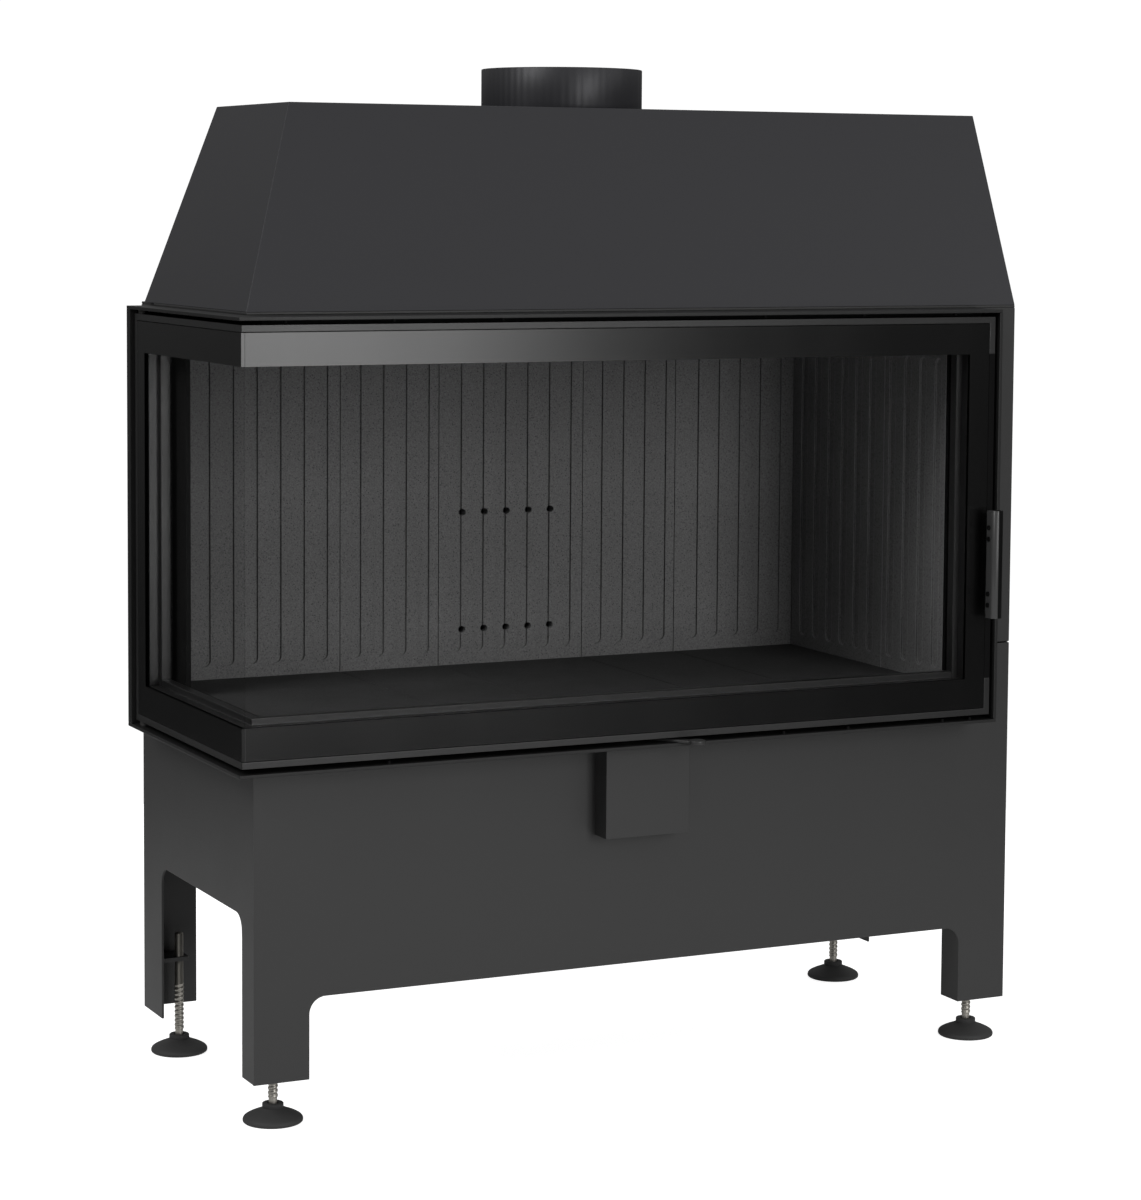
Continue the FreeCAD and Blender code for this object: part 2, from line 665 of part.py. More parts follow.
def back_lining(index, left, right, flutes):
    """One fluted panel of the back lining; the middle one has the air holes."""
    label = "back_lining_%d" % index
    width = right - left - s.lining_joint
    height = s.lining_top - s.base_top
    slab = box_part(label + "_slab", width, s.lining, height)
    first = (width - (flutes - 1) * s.flute_pitch) / 2
    centres = [first + i * s.flute_pitch for i in range(flutes)]
    top = height + s.flute_width
    tools = flute_tools(centres, True, s.flute_bottom - s.base_top, top)
    if index == 3:
        for i in range(5):
            for z in (s.air_hole_low, s.air_hole_high):
                spot = (first + (i + 0.3) * s.flute_pitch, -1, z - s.base_top)
                hole = cylinder_part("air_hole", s.air_hole, s.lining + 2, spot, FreeCAD.Vector(0, 1, 0))
                tools.append(hole)
    panel = finish_part(cut_part(label + "_cut", slab, tools), label)
    place(panel, left + s.lining_joint / 2, s.lining_front, s.base_top)


def back_linings():
    """The five panels of the back lining."""
    joints = lining_joints(s.lining_left)
    for index, flutes in enumerate((6, 4, 6, 4, 5)):
        back_lining(index + 1, joints[index], joints[index + 1], flutes)


def right_lining():
    """Two fluted panels of the right lining, with flutes that stop below their tops."""
    height = s.lining_top - s.base_top
    start = s.frame_front + s.frame_thick
    panels = []
    for front, rear, flutes, pitch in ((start, s.right_joint, 4, s.right_pitch_front),
                                       (s.right_joint, s.lining_front, 6, s.right_pitch_rear)):
        depth = rear - front - s.lining_joint
        slab = box_part("right_slab", s.lining, depth, height)
        first = (depth - (flutes - 1) * pitch) / 2
        centres = [first + i * pitch for i in range(flutes)]
        tools = flute_tools(centres, False, s.flute_bottom - s.base_top, s.flute_top - s.base_top)
        panel = cut_part("right_panel", slab, tools)
        for letter, size in zip("xyz", (s.lining_right, front + s.lining_joint / 2, s.base_top)):
            bind(panel, "Placement.Base." + letter, size)
        panels.append(panel)
    place(group_part("right_lining", panels), Size("0", 0), Size("0", 0), Size("0", 0))


def hearth_plates():
    """Five loose plates that line the floor of the firebox."""
    left = s.frame_left + s.frame_thick
    front = s.frame_front + s.frame_thick
    joints = lining_joints(left)
    depth = s.lining_front - front - s.lining_joint
    solids = []
    for index in range(5):
        width = joints[index + 1] - joints[index] - s.lining_joint
        at = (joints[index] + s.lining_joint / 2, front + s.lining_joint / 2, s.base_top)
        solids.append(box_part("hearth_plate", width, depth, s.hearth_top - s.base_top, at))
    place(group_part("hearth_plates", solids), Size("0", 0), Size("0", 0), Size("0", 0))


def baffle():
    """Loose baffle plate that rests on the lining and leaves a throat at the front."""
    width = s.right_wall - s.lining_left - 4 * s.baffle_play
    depth = s.lining_front + s.lining - s.baffle_front
    box = box_part("baffle_box", width, depth, s.baffle_thick)
    place(finish_part(box, "baffle"), s.lining_left + s.baffle_play, s.baffle_front, s.lining_top)


def air_duct():
    """Flat duct behind the middle lining panel that feeds its air holes."""
    wall = s.thin_sheet
    gap = s.duct_play
    depth = s.rear_wall - s.lining_front - s.lining - 2 * gap
    width, height = s.duct_width, s.duct_height
    outer = box_part("duct_outer", width, depth, height)
    inner = box_part("duct_inner", width - 2 * wall, depth, height - wall, (wall, -wall, 0))
    duct = finish_part(cut_part("duct", outer, [inner]), "secondary_air_duct")
    place(duct, s.duct_left, s.lining_front + s.lining + gap, s.base_top)


# ---------------------------------------------------------------- door

def door_rail(label, z, rebate_z, lipped):
    """Top or bottom rail of the door, rebated for the two panes and bored for its hinge pin."""
    body = new_body(label)
    length_x = s.door_right - s.door_left
    length_y = s.door_rear - s.door_front
    pad(body, outline(body, "XY_Plane", ell(length_x, length_y, s.door_depth, s.door_depth)), s.rail_height)
    back = GLASS_BACK
    rebate = [(-1, -1), (length_x - s.rim, -1), (length_x - s.rim, back), (back, back),
              (back, length_y - s.rim), (-1, length_y - s.rim)]
    pocket(body, outline(body, "XY_Plane", rebate, rebate_z), s.rail_height - s.rim, reverse=True)
    if lipped:
        lip, depth = s.lip_front, s.door_depth
        end_x, end_y = length_x - s.stile_back, length_y - s.stile_back
        pad(body, outline(body, "XY_Plane", [
            (lip, lip), (end_x, lip), (end_x, depth), (depth, depth), (depth, end_y), (lip, end_y)],
            s.rail_height), s.lip_height)
    bore = s.pin + s.running_fit
    pocket(body, circle(body, "XY_Plane", s.hinge_inset, length_y - s.hinge_rear_inset, bore))
    place(body, s.door_left, s.door_front, z)


def door_stile_right():
    """Right stile of the door, stepped inside, notched for the handle and bored for its pin."""
    body = new_body("door_stile_right")
    width, step = s.stile_back, s.stile_back - s.stile_front
    height = s.door_top - s.door_bottom - 2 * s.rail_height
    pad(body, outline(body, "XY_Plane", [
        (width - s.rim, 0), (width, 0), (width, s.door_depth), (0, s.door_depth), (0, s.lip_front),
        (step, s.lip_front), (step, GLASS_BACK), (width - s.rim, GLASS_BACK)]), height)
    left = s.door_right - width
    low = s.notch_bottom - s.door_bottom - s.rail_height
    high = s.notch_top - s.door_bottom - s.rail_height
    edge = width - s.notch_depth
    notch = [(edge, low), (width + 1, low), (width + 1, high), (edge, high)]
    pocket(body, outline(body, "XZ_Plane", notch))
    bore = s.handle_pin + s.running_fit
    spot = (HANDLE_AXIS_X - left, s.handle_axis_y - s.door_front)
    hole = circle(body, "XY_Plane", *spot, bore, low - s.pin_overlap - 2)
    pocket(body, hole, high - low + 2 * s.pin_overlap + 4, reverse=True)
    place(body, left, s.door_front, s.door_bottom + s.rail_height)


def door_stile_rear():
    """Rear left stile of the door, stepped inside like the right one."""
    body = new_body("door_stile_rear")
    length, step = s.stile_back, s.stile_back - s.stile_front
    height = s.door_top - s.door_bottom - 2 * s.rail_height
    pad(body, outline(body, "XY_Plane", [
        (0, length - s.rim), (GLASS_BACK, length - s.rim), (GLASS_BACK, step), (s.lip_front, step),
        (s.lip_front, 0), (s.door_depth, 0), (s.door_depth, length), (0, length)]), height)
    place(body, s.door_left, s.door_rear - length, s.door_bottom + s.rail_height)


def panes():
    """The two panes, which meet edge to edge at the corner without a post."""
    clear = s.pane_play
    height = s.door_top - s.door_bottom - 2 * s.rim - 2 * clear
    z = s.door_bottom + s.rim + clear
    inner = s.glass + s.joint_line
    front = finish_part(box_part("front_pane", s.door_right - s.rim - clear - s.door_left - inner,
                                 s.glass, height), "front_glass")
    place(front, s.door_left + inner, s.door_front, z)
    side = finish_part(box_part("side_pane", s.glass, s.door_rear - s.rim - clear - s.door_front, height),
                       "side_glass")
    place(side, s.door_left, s.door_front, z)


def corner_seal():
    """Thin black seal in the joint of the two panes."""
    height = s.door_top - s.door_bottom - 2 * s.rim - 2 * s.pane_play
    box = box_part("corner_strip", s.joint_line, s.glass, height)
    seal = finish_part(box, "glass_corner_seal")
    place(seal, s.door_left + s.glass, s.door_front, s.door_bottom + s.rim + s.pane_play)


def frame_ring(body, length_x, length_y, height, depth, band):
    """Pads an L-shaped curtain and cuts its two windows, leaving a band round the pair."""
    pad(body, outline(body, "XY_Plane", ell(length_x, length_y, depth, depth)), height)
    high = height - band
    front = [(0, band), (length_x - band, band), (length_x - band, high), (0, high)]
    pocket(body, outline(body, "XZ_Plane", front), depth)
    side = [(0, band), (length_y - band, band), (length_y - band, high), (0, high)]
    pocket(body, outline(body, "YZ_Plane", side), depth, reverse=True)


def glass_gasket():
    """Flat gasket between the panes and the door frame."""
    body = new_body("glass_gasket")
    short = s.rim + s.glass + 2
    frame_ring(body, s.door_right - s.door_left - short, s.door_rear - s.door_front - short,
               s.door_top - s.door_bottom - 2 * s.rim - 2, s.gasket, s.seal_band)
    place(body, s.door_left + s.glass, s.door_front + s.glass, s.door_bottom + s.rim + 1)


def door_seal():
    """Rope seal on the back of the door frame."""
    body = new_body("door_rope_seal")
    inset = s.seal_inset
    length_x = s.door_right - 2 * inset - s.door_left - s.door_depth
    length_y = s.door_rear - s.seal_band - s.door_front - s.door_depth
    frame_ring(body, length_x, length_y, s.door_top - s.door_bottom - 2 * inset, s.rope, s.seal_band)
    place(body, s.door_left + s.door_depth, s.door_front + s.door_depth, s.door_bottom + inset)


def pivot_pins():
    """Pins welded to the portal: two shouldered ones for the door and a plain one for the lever."""
    floor = s.portal_bottom + s.plate
    ceiling = s.portal_top - s.plate
    gap_low = s.door_bottom - floor - s.pin_play
    gap_high = ceiling - s.door_top - s.pin_play
    solids = []
    for seat, spike, gap in ((floor, floor + gap_low, gap_low),
                             (ceiling - gap_high, ceiling - gap_high - s.pin_reach, gap_high)):
        wide = cylinder_part("pin_seat", s.pin_seat, gap, (DOOR_HINGE_X, DOOR_HINGE_Y, seat))
        slim = cylinder_part("pin_shank", s.pin, s.pin_reach, (DOOR_HINGE_X, DOOR_HINGE_Y, spike))
        both = doc.addObject("Part::MultiFuse", "hinge_pin")
        both.Shapes = [wide, slim]
        solids.append(both)
    height = s.base_top - s.base_thick - s.portal_bottom
    solids.append(cylinder_part("lever_pin", s.lever_pin, height, (s.lever_x, s.lever_y, s.portal_bottom)))
    place(group_part("pivot_pins", solids), Size("0", 0), Size("0", 0), Size("0", 0))


def latch_striker():
    """Striker on the portal beside the handle."""
    box = box_part("striker_box", s.striker_thick, s.striker_depth, s.striker_height)
    left = s.portal_right - s.plate - s.striker_thick
    place(finish_part(box, "latch_striker"), left, s.striker_y, s.striker_z)


# ---------------------------------------------------------------- handle

def handle_arm():
    """Arm of the handle with the barrel that turns on the pin and the latch hook behind it."""
    body = new_body("handle_arm")
    height = s.notch_top - s.notch_bottom - 2 * s.arm_play
    reach = s.handle_axis_y - s.grip_back
    half = s.arm_thick / 2
    pad(body, circle(body, "XY_Plane", 0, 0, s.barrel), height)
    pad(body, outline(body, "XY_Plane", [(-half, -reach), (half, -reach), (half, 0), (-half, 0)]), height)
    nose = s.hook_reach - s.arm_thick
    pad(body, outline(body, "XY_Plane", [
        (-half, 0), (half, 0), (half, nose), (s.hook_tip, nose), (s.hook_tip, s.hook_reach),
        (-half, s.hook_reach)], s.hook_bottom), s.hook_height)
    pocket(body, circle(body, "XY_Plane", 0, 0, s.handle_pin))
    place(body, HANDLE_AXIS_X, s.handle_axis_y, s.notch_bottom + s.arm_play)


def handle_pin():
    """Pin of the handle, held in the stile above and below the notch."""
    height = s.notch_top - s.notch_bottom + 2 * s.pin_overlap
    pin = finish_part(cylinder_part("handle_pin_rod", s.handle_pin, height), "handle_pin")
    place(pin, HANDLE_AXIS_X, s.handle_axis_y, s.notch_bottom - s.pin_overlap)


def handle_grip():
    """Upright grip with a rounded front."""
    body = new_body("handle_grip")
    width = s.grip_right - s.grip_left
    depth = s.grip_back - s.grip_front
    height = s.grip_top - s.grip_bottom
    pad(body, outline(body, "XY_Plane", [(0, 0), (width, 0), (width, depth), (0, depth)]), height)
    round_edges(body, [vector(0, 0, height / 2), vector(width, 0, height / 2)], s.grip_round)
    place(body, s.grip_left, s.grip_front, s.grip_bottom)


def handle_screws():
    """Four screws in the left side of the grip."""
    solids = []
    for pair in (s.screw_bottom, s.screw_bottom + s.screw_pair_step):
        for z in (pair, pair + s.screw_step):
            at = (s.grip_left - s.screw_proud, s.screw_y, z)
            solids.append(cylinder_part("grip_screw", s.screw_head, s.screw_proud, at, FreeCAD.Vector(1, 0, 0)))
    place(group_part("handle_screws", solids), Size("0", 0), Size("0", 0), Size("0", 0))


# ---------------------------------------------------------------- assembly

def build():
    """Builds every sub-part."""
    base_front()
    base_side("base_left", 0, s.portal_bottom)
    base_side("base_right", s.body_width - s.sheet, s.seam_top - s.butt_gap)
    base_rear()
    foot_brackets()
    for spot in foot_spots():
        foot(*spot)
    portal_ring("portal_top", s.portal_top - s.plate, False)
    portal_ring("portal_bottom", s.portal_bottom, True)
    portal_uprights()
    portal_spacers()
    casing_rear()
    casing_right()
    casing_front_right()
    top_plate()
    hood()
    flue_collar()
    air_box_cover()
    air_chamber()
    air_inlet_spigot()
    air_lever()
    lever_knob()
    firebox_base()
    face_ring("face_sill", s.base_top, s.sill_top - s.base_top)
    face_ring("face_lintel", s.lintel_bottom, s.portal_top - s.plate - s.lintel_bottom)
    face_posts()
    firebox_walls()
    back_linings()
    right_lining()
    hearth_plates()
    baffle()
    air_duct()
    door_rail("door_rail_bottom", s.door_bottom, s.rim, True)
    door_rail("door_rail_top", s.door_top - s.rail_height, Size("0", 0), False)
    door_stile_right()
    door_stile_rear()
    panes()
    corner_seal()
    glass_gasket()
    door_seal()
    pivot_pins()
    latch_striker()
    handle_arm()
    handle_pin()
    handle_grip()
    handle_screws()


def check():
    """Raises an error where any object failed or a sub-part has no valid shape."""
    for obj in doc.Objects:
        if "Invalid" in obj.State or "Error" in obj.State:
            raise RuntimeError("%s (%s) did not compute" % (obj.Label, obj.Name))
    for node in NODES:
        if node.Shape.isNull() or not node.Shape.isValid():
            raise RuntimeError("%s has no valid shape" % node.Label)


def write():
    """Writes each sub-part's shape to its own file."""
    os.makedirs("parts", exist_ok=True)
    for node in NODES:
        node.Shape.exportStep("parts/%s.step" % node.Label)


build()
doc.recompute()
check()
write()
print("%d sub-parts written" % len(NODES))
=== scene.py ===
"""Looks of a left-corner wood burning stove insert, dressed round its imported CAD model.

All lengths are in metres, in the model's own frame: x runs to the right, y to the back, and z up
from the floor, with the origin on the floor under the middle of the stove.
"""
import logging
import math
from abc import ABC, abstractmethod
from dataclasses import dataclass, field
from enum import Enum
from typing import Any, Callable, Optional, Sequence, Union

import bmesh
import bpy
from mathutils import Matrix, Vector


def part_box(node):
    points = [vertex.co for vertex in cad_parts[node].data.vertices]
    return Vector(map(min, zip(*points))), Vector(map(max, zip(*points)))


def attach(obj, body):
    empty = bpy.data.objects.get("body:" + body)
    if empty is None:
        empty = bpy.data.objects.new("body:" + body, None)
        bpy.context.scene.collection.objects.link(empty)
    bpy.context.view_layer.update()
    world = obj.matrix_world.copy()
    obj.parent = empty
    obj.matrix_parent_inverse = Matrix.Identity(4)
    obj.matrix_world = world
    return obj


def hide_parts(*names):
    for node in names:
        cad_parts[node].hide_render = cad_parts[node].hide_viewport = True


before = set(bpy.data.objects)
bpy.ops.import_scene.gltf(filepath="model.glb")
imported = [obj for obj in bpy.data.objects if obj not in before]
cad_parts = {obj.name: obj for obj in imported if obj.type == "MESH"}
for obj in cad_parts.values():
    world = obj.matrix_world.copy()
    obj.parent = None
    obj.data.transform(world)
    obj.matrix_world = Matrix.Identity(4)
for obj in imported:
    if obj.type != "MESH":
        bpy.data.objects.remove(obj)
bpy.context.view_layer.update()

LOG = logging.getLogger("stove")

Number = Union[int, float]
Colour = tuple[float, float, float, float]
Value = Union["Signal", Number, Sequence[float]]


def grey(level: float, warmth: float = 0.0) -> Colour:
    """Returns an opaque grey, a little redder than neutral by its warmth."""
    return (level * (1 + warmth), level, level * (1 - warmth), 1.0)


# ---------------------------------------------------------------- shader graphs

class Operation(Enum):
    """The Math operations that the finishes use."""

    ADD = "ADD"
    SUBTRACT = "SUBTRACT"
    MULTIPLY = "MULTIPLY"
    DIVIDE = "DIVIDE"
    ABOVE = "GREATER_THAN"
    BELOW = "LESS_THAN"
    LARGER = "MAXIMUM"
    SINE = "SINE"
    COSINE = "COSINE"
    ARCTAN2 = "ARCTAN2"


class Signal:
    """A number that varies over a surface, as the output socket of a node."""

    def __init__(self, graph: "Graph", socket: bpy.types.NodeSocket) -> None:
        """Keeps the graph and the socket."""
        self.graph = graph
        self.socket = socket

    def math(self, operation: Operation, *others: Value) -> "Signal":
        """Adds a Math node whose first value is this signal.

        Args:
            operation: what the node works out.
            others: the node's further values.

        Returns:
            The node's result.
        """
        return self.graph.math(operation, self, *others)

    def __add__(self, other: Value) -> "Signal":
        """Returns self + other."""
        return self.math(Operation.ADD, other)

    def __radd__(self, other: Value) -> "Signal":
        """Returns other + self."""
        return self.graph.math(Operation.ADD, other, self)

    def __sub__(self, other: Value) -> "Signal":
        """Returns self - other."""
        return self.math(Operation.SUBTRACT, other)

    def __rsub__(self, other: Value) -> "Signal":
        """Returns other - self."""
        return self.graph.math(Operation.SUBTRACT, other, self)

    def __mul__(self, other: Value) -> "Signal":
        """Returns self * other."""
        return self.math(Operation.MULTIPLY, other)

    def __truediv__(self, other: Value) -> "Signal":
        """Returns self / other."""
        return self.math(Operation.DIVIDE, other)

    def above(self, limit: Value) -> "Signal":
        """Returns 1 where this signal is above the limit, and 0 elsewhere."""
        return self.math(Operation.ABOVE, limit)

    def below(self, limit: Value) -> "Signal":
        """Returns 1 where this signal is below the limit, and 0 elsewhere."""
        return self.math(Operation.BELOW, limit)

    def larger(self, other: Value) -> "Signal":
        """Returns the larger of this signal and another value."""
        return self.math(Operation.LARGER, other)

    def spread(self, low: float, high: float) -> "Signal":
        """Returns 0 below low, 1 above high, and an even rise between them."""
        return self.graph.node(
            "ShaderNodeMapRange", {"clamp": True},
            {"Value": self, "From Min": low, "From Max": high, "To Min": 0.0, "To Max": 1.0})


class Graph:
    """The node graph of one material or of the world."""

    def __init__(self, tree: bpy.types.NodeTree) -> None:
        """Takes over a node tree and empties it."""
        self.tree = tree
        tree.nodes.clear()

    def node(self, kind: str, settings: Optional[dict[str, Any]] = None,
             inputs: Optional[dict[Union[int, str], Value]] = None,
             output: Union[int, str] = 0) -> Signal:
        """Adds a node.

        Args:
            kind: the node's type.
            settings: its properties, set first; "stops" fills a colour ramp.
            inputs: a value or a signal for each of its sockets.
            output: the output that is returned.

        Returns:
            That output as a signal.
        """
        node = self.tree.nodes.new(kind)
        for name, value in (settings or {}).items():
            if name == "stops":
                self.fill_ramp(node.color_ramp, value)
            else:
                setattr(node, name, value)
        for key, value in (inputs or {}).items():
            if isinstance(value, Signal):
                self.tree.links.new(value.socket, node.inputs[key])
            else:
                node.inputs[key].default_value = value
        return Signal(self, node.outputs[output])

    @staticmethod
    def fill_ramp(ramp: bpy.types.ColorRamp, stops: Sequence[tuple[float, Colour]]) -> None:
        """Gives a colour ramp its stops.

        Args:
            ramp: the ramp of a node just made, with its two first stops.
            stops: position and colour of each stop, in order.
        """
        for index, (position, colour) in enumerate(stops):
            stop = ramp.elements[index] if index < 2 else ramp.elements.new(position)
            stop.position = position
            stop.color = colour

    def math(self, operation: Operation, *values: Value) -> Signal:
        """Adds a Math node on these values."""
        return self.node("ShaderNodeMath", {"operation": operation.value}, dict(enumerate(values)))

    def place(self) -> Signal:
        """Returns the point on the surface in the piece's own axes."""
        return self.node("ShaderNodeTexCoord", output="Object")

    def axis(self, vector: Signal, letter: str) -> Signal:
        """Returns one component of a vector, by its letter."""
        return self.node("ShaderNodeSeparateXYZ", inputs={0: vector}, output=letter)

    def stretched(self, vector: Signal, scale: Sequence[float]) -> Signal:
        """Returns a vector with each component scaled by its own number."""
        return self.node("ShaderNodeVectorMath", {"operation": "MULTIPLY"}, {0: vector, 1: scale})

    def noise(self, vector: Signal, per_metre: float, detail: float = 2.0,
              rough: float = 0.5) -> Signal:
        """Adds cloudy noise.

        Args:
            vector: where it is read.
            per_metre: how many clouds there are to a metre.
            detail: how many finer layers it has.
            rough: how strong the finer layers are.

        Returns:
            The noise, about 0.5 on average.
        """
        return self.node("ShaderNodeTexNoise", None, {
            "Vector": vector, "Scale": per_metre, "Detail": detail, "Roughness": rough})

    def cells(self, vector: Signal, per_metre: float) -> Signal:
        """Returns the distance to the nearest of many scattered points."""
        return self.node("ShaderNodeTexVoronoi", None, {"Vector": vector, "Scale": per_metre})

    def blend(self, share: Value, first: Union[Signal, Colour],
              second: Union[Signal, Colour]) -> Signal:
        """Returns the first colour turning into the second one as the share rises."""
        return self.node("ShaderNodeMix", {"data_type": "RGBA"}, {0: share, 6: first, 7: second}, 2)

    def relief(self, height: Signal, depth: float, strength: float = 1.0,
               normal: Optional[Signal] = None) -> Signal:
        """Returns a normal bent by a height map.

        Args:
            height: the height, from 0 to 1.
            depth: how deep a height of 1 is, in metres.
            strength: the share of it that shows.
            normal: a normal bent before, or None.

        Returns:
            The bent normal.
        """
        inputs: dict[Union[int, str], Value] = {
            "Height": height, "Distance": depth, "Strength": strength}
        if normal is not None:
            inputs["Normal"] = normal
        return self.node("ShaderNodeBump", None, inputs)

    def edges(self, reach: float) -> Signal:
        """Returns 1 on sharp edges and 0 on flat faces.

        Args:
            reach: how far from the edge it reaches, in metres.

        Returns:
            The mask.
        """
        rounded = self.node("ShaderNodeBevel", {"samples": 4}, {"Radius": reach})
        flat = self.node("ShaderNodeNewGeometry", output="Normal")
        along = self.node("ShaderNodeVectorMath", {"operation": "DOT_PRODUCT"},
                          {0: rounded, 1: flat}, "Value")
        return (1.0 - along).spread(0.02, 0.25)

    def principled(self, **inputs: Value) -> Signal:
        """Adds a Principled shader; underscores in names stand for spaces."""
        named = {name.replace("_", " "): value for name, value in inputs.items()}
        return self.node("ShaderNodeBsdfPrincipled", None, named)

    def mixed(self, share: Value, first: Signal, second: Signal) -> Signal:
        """Returns the first shader turning into the second one as the share rises."""
        return self.node("ShaderNodeMixShader", None, {0: share, 1: first, 2: second})

    def show(self, shader: Signal, kind: str = "ShaderNodeOutputMaterial") -> None:
        """Sends a shader to the output."""
        self.tree.links.new(shader.socket, self.tree.nodes.new(kind).inputs["Surface"])


# ---------------------------------------------------------------- finishes

@dataclass(frozen=True)
class Finish(ABC):
    """One finish. The material is made the first time that it is asked for."""

    name: str

    @abstractmethod
    def surface(self, graph: Graph) -> Signal:
        """Builds the shader and returns it."""

    def material(self) -> bpy.types.Material:
        """Returns the finish as a material."""
        found = bpy.data.materials.get(self.name)
        if found is None:
            found = bpy.data.materials.new(self.name)
            found.use_nodes = True
            graph = Graph(found.node_tree)
            graph.show(self.surface(graph))
        return found

    def put_on(self, piece: bpy.types.Object) -> None:
        """Gives the finish to every material slot of a piece."""
        if not piece.material_slots:
            piece.data.materials.append(self.material())
        for material_slot in piece.material_slots:
            material_slot.material = self.material()


@dataclass(frozen=True)
class HeatProofPaint(Finish):
    """Matt black stove paint, sprayed: a fine grain and faint clouds, with its edges painted lighter:
    thinner paint there, and a painted highlight.
    """

    level: float = 0.026
    roughness: float = 0.50
    grain_depth: float = 0.00006
    specular: float = 0.5
    clouds_per_metre: float = 5.0
    grains_per_metre: float = 900.0
    mist_per_metre: float = 190.0
    dust_per_metre: float = 240.0
    dust_size: float = 0.07
    edge_highlight_reach: float = 0.0018

    def surface(self, graph: Graph) -> Signal:
        """Builds the shader and returns it."""
        place = graph.place()
        clouds = graph.noise(place, self.clouds_per_metre, 4.0, 0.55)
        grain = graph.noise(place, self.grains_per_metre, 2.0, 0.6)
        mist = graph.noise(place, self.mist_per_metre, 2.0, 0.5)
        dust = graph.cells(place, self.dust_per_metre).below(self.dust_size)
        painted_edge_highlight = graph.edges(self.edge_highlight_reach)
        dark, light = grey(self.level * 0.86), grey(self.level * 1.16)
        colour = graph.blend(clouds * 0.6 + grain * 0.4, dark, light)
        colour = graph.blend(dust * 0.16, colour, grey(self.level * 3.0, 0.03))
        # Painted highlight: the edges are painted lighter, as thinner paint and as the light that they
        # catch.
        colour = graph.blend(painted_edge_highlight * 0.35, colour, grey(self.level * 2.6))
        roughness = (clouds - 0.5) * 0.16 + (grain - 0.5) * 0.14 - painted_edge_highlight * 0.08 + self.roughness
        normal = graph.relief(grain * 0.7 + mist * 0.3, self.grain_depth)
        return graph.principled(Base_Color=colour, Roughness=roughness, Normal=normal,
                                Specular_IOR_Level=self.specular)


@dataclass(frozen=True)
class EdgedPaint(HeatProofPaint):
    """Stove paint that turns deep black beyond a limit across the stove: on the door stile the print's
    border, on the handle grip a painted shadow.
    """

    limit: float = 0.0
    black: float = 0.003
    shine: float = 0.08
    black_grains_per_metre: float = 700.0

    def surface(self, graph: Graph) -> Signal:
        """Builds the shader and returns it."""
        place = graph.place()
        beyond = graph.axis(place, "X").above(self.limit)
        grain = graph.noise(place, self.black_grains_per_metre, 2.0)
        deep = graph.principled(
            Base_Color=graph.blend(grain, grey(self.black * 0.7), grey(self.black * 1.3)),
            Roughness=0.5 + grain * 0.1, Specular_IOR_Level=self.shine)
        return graph.mixed(beyond, super().surface(graph), deep)


@dataclass(frozen=True)
class CastLining(Finish):
    """Cast refractory: gritty dark grey, with pores, sand and a little soot."""

    level: float = 0.205
    soot: float = 0.20
    flute_highlight: float = 0.0
    sand_per_metre: float = 520.0
    pits_per_metre: float = 260.0
    patches_per_metre: float = 9.0
    streak_stretch: tuple[float, float, float] = (22.0, 22.0, 2.5)
    flute_highlight_reach: float = 0.0022
    pit_depth: float = 0.00045

    def surface(self, graph: Graph) -> Signal:
        """Builds the shader and returns it."""
        place = graph.place()
        sand = graph.noise(place, self.sand_per_metre, 3.0, 0.7)
        pits = graph.cells(place, self.pits_per_metre).spread(0.05, 0.30)
        patches = graph.noise(place, self.patches_per_metre, 4.0, 0.6).spread(0.35, 0.75)
        streaks = graph.noise(graph.stretched(place, self.streak_stretch), 1.0, 3.0, 0.6)
        colour = graph.blend(sand.spread(0.25, 0.75), grey(self.level * 0.62), grey(self.level * 1.42))
        colour = graph.blend(pits, grey(self.level * 0.35), colour)
        shade = (patches * 0.5 + streaks.spread(0.3, 0.8) * 0.5) * self.soot
        colour = graph.blend(shade, colour, grey(self.level * 0.45))
        # Painted highlight: the lining's edges are painted lighter, standing in for light caught on the
        # flute edges.
        if self.flute_highlight:
            edges = graph.edges(self.flute_highlight_reach)
            colour = graph.blend(edges * self.flute_highlight, colour, grey(self.level * 2.2))
        normal = graph.relief(sand * 0.55 + pits * 0.45, self.pit_depth, 0.8)
        return graph.principled(Base_Color=colour, Roughness=0.80 + sand * 0.15, Normal=normal,
                                Specular_IOR_Level=0.25)


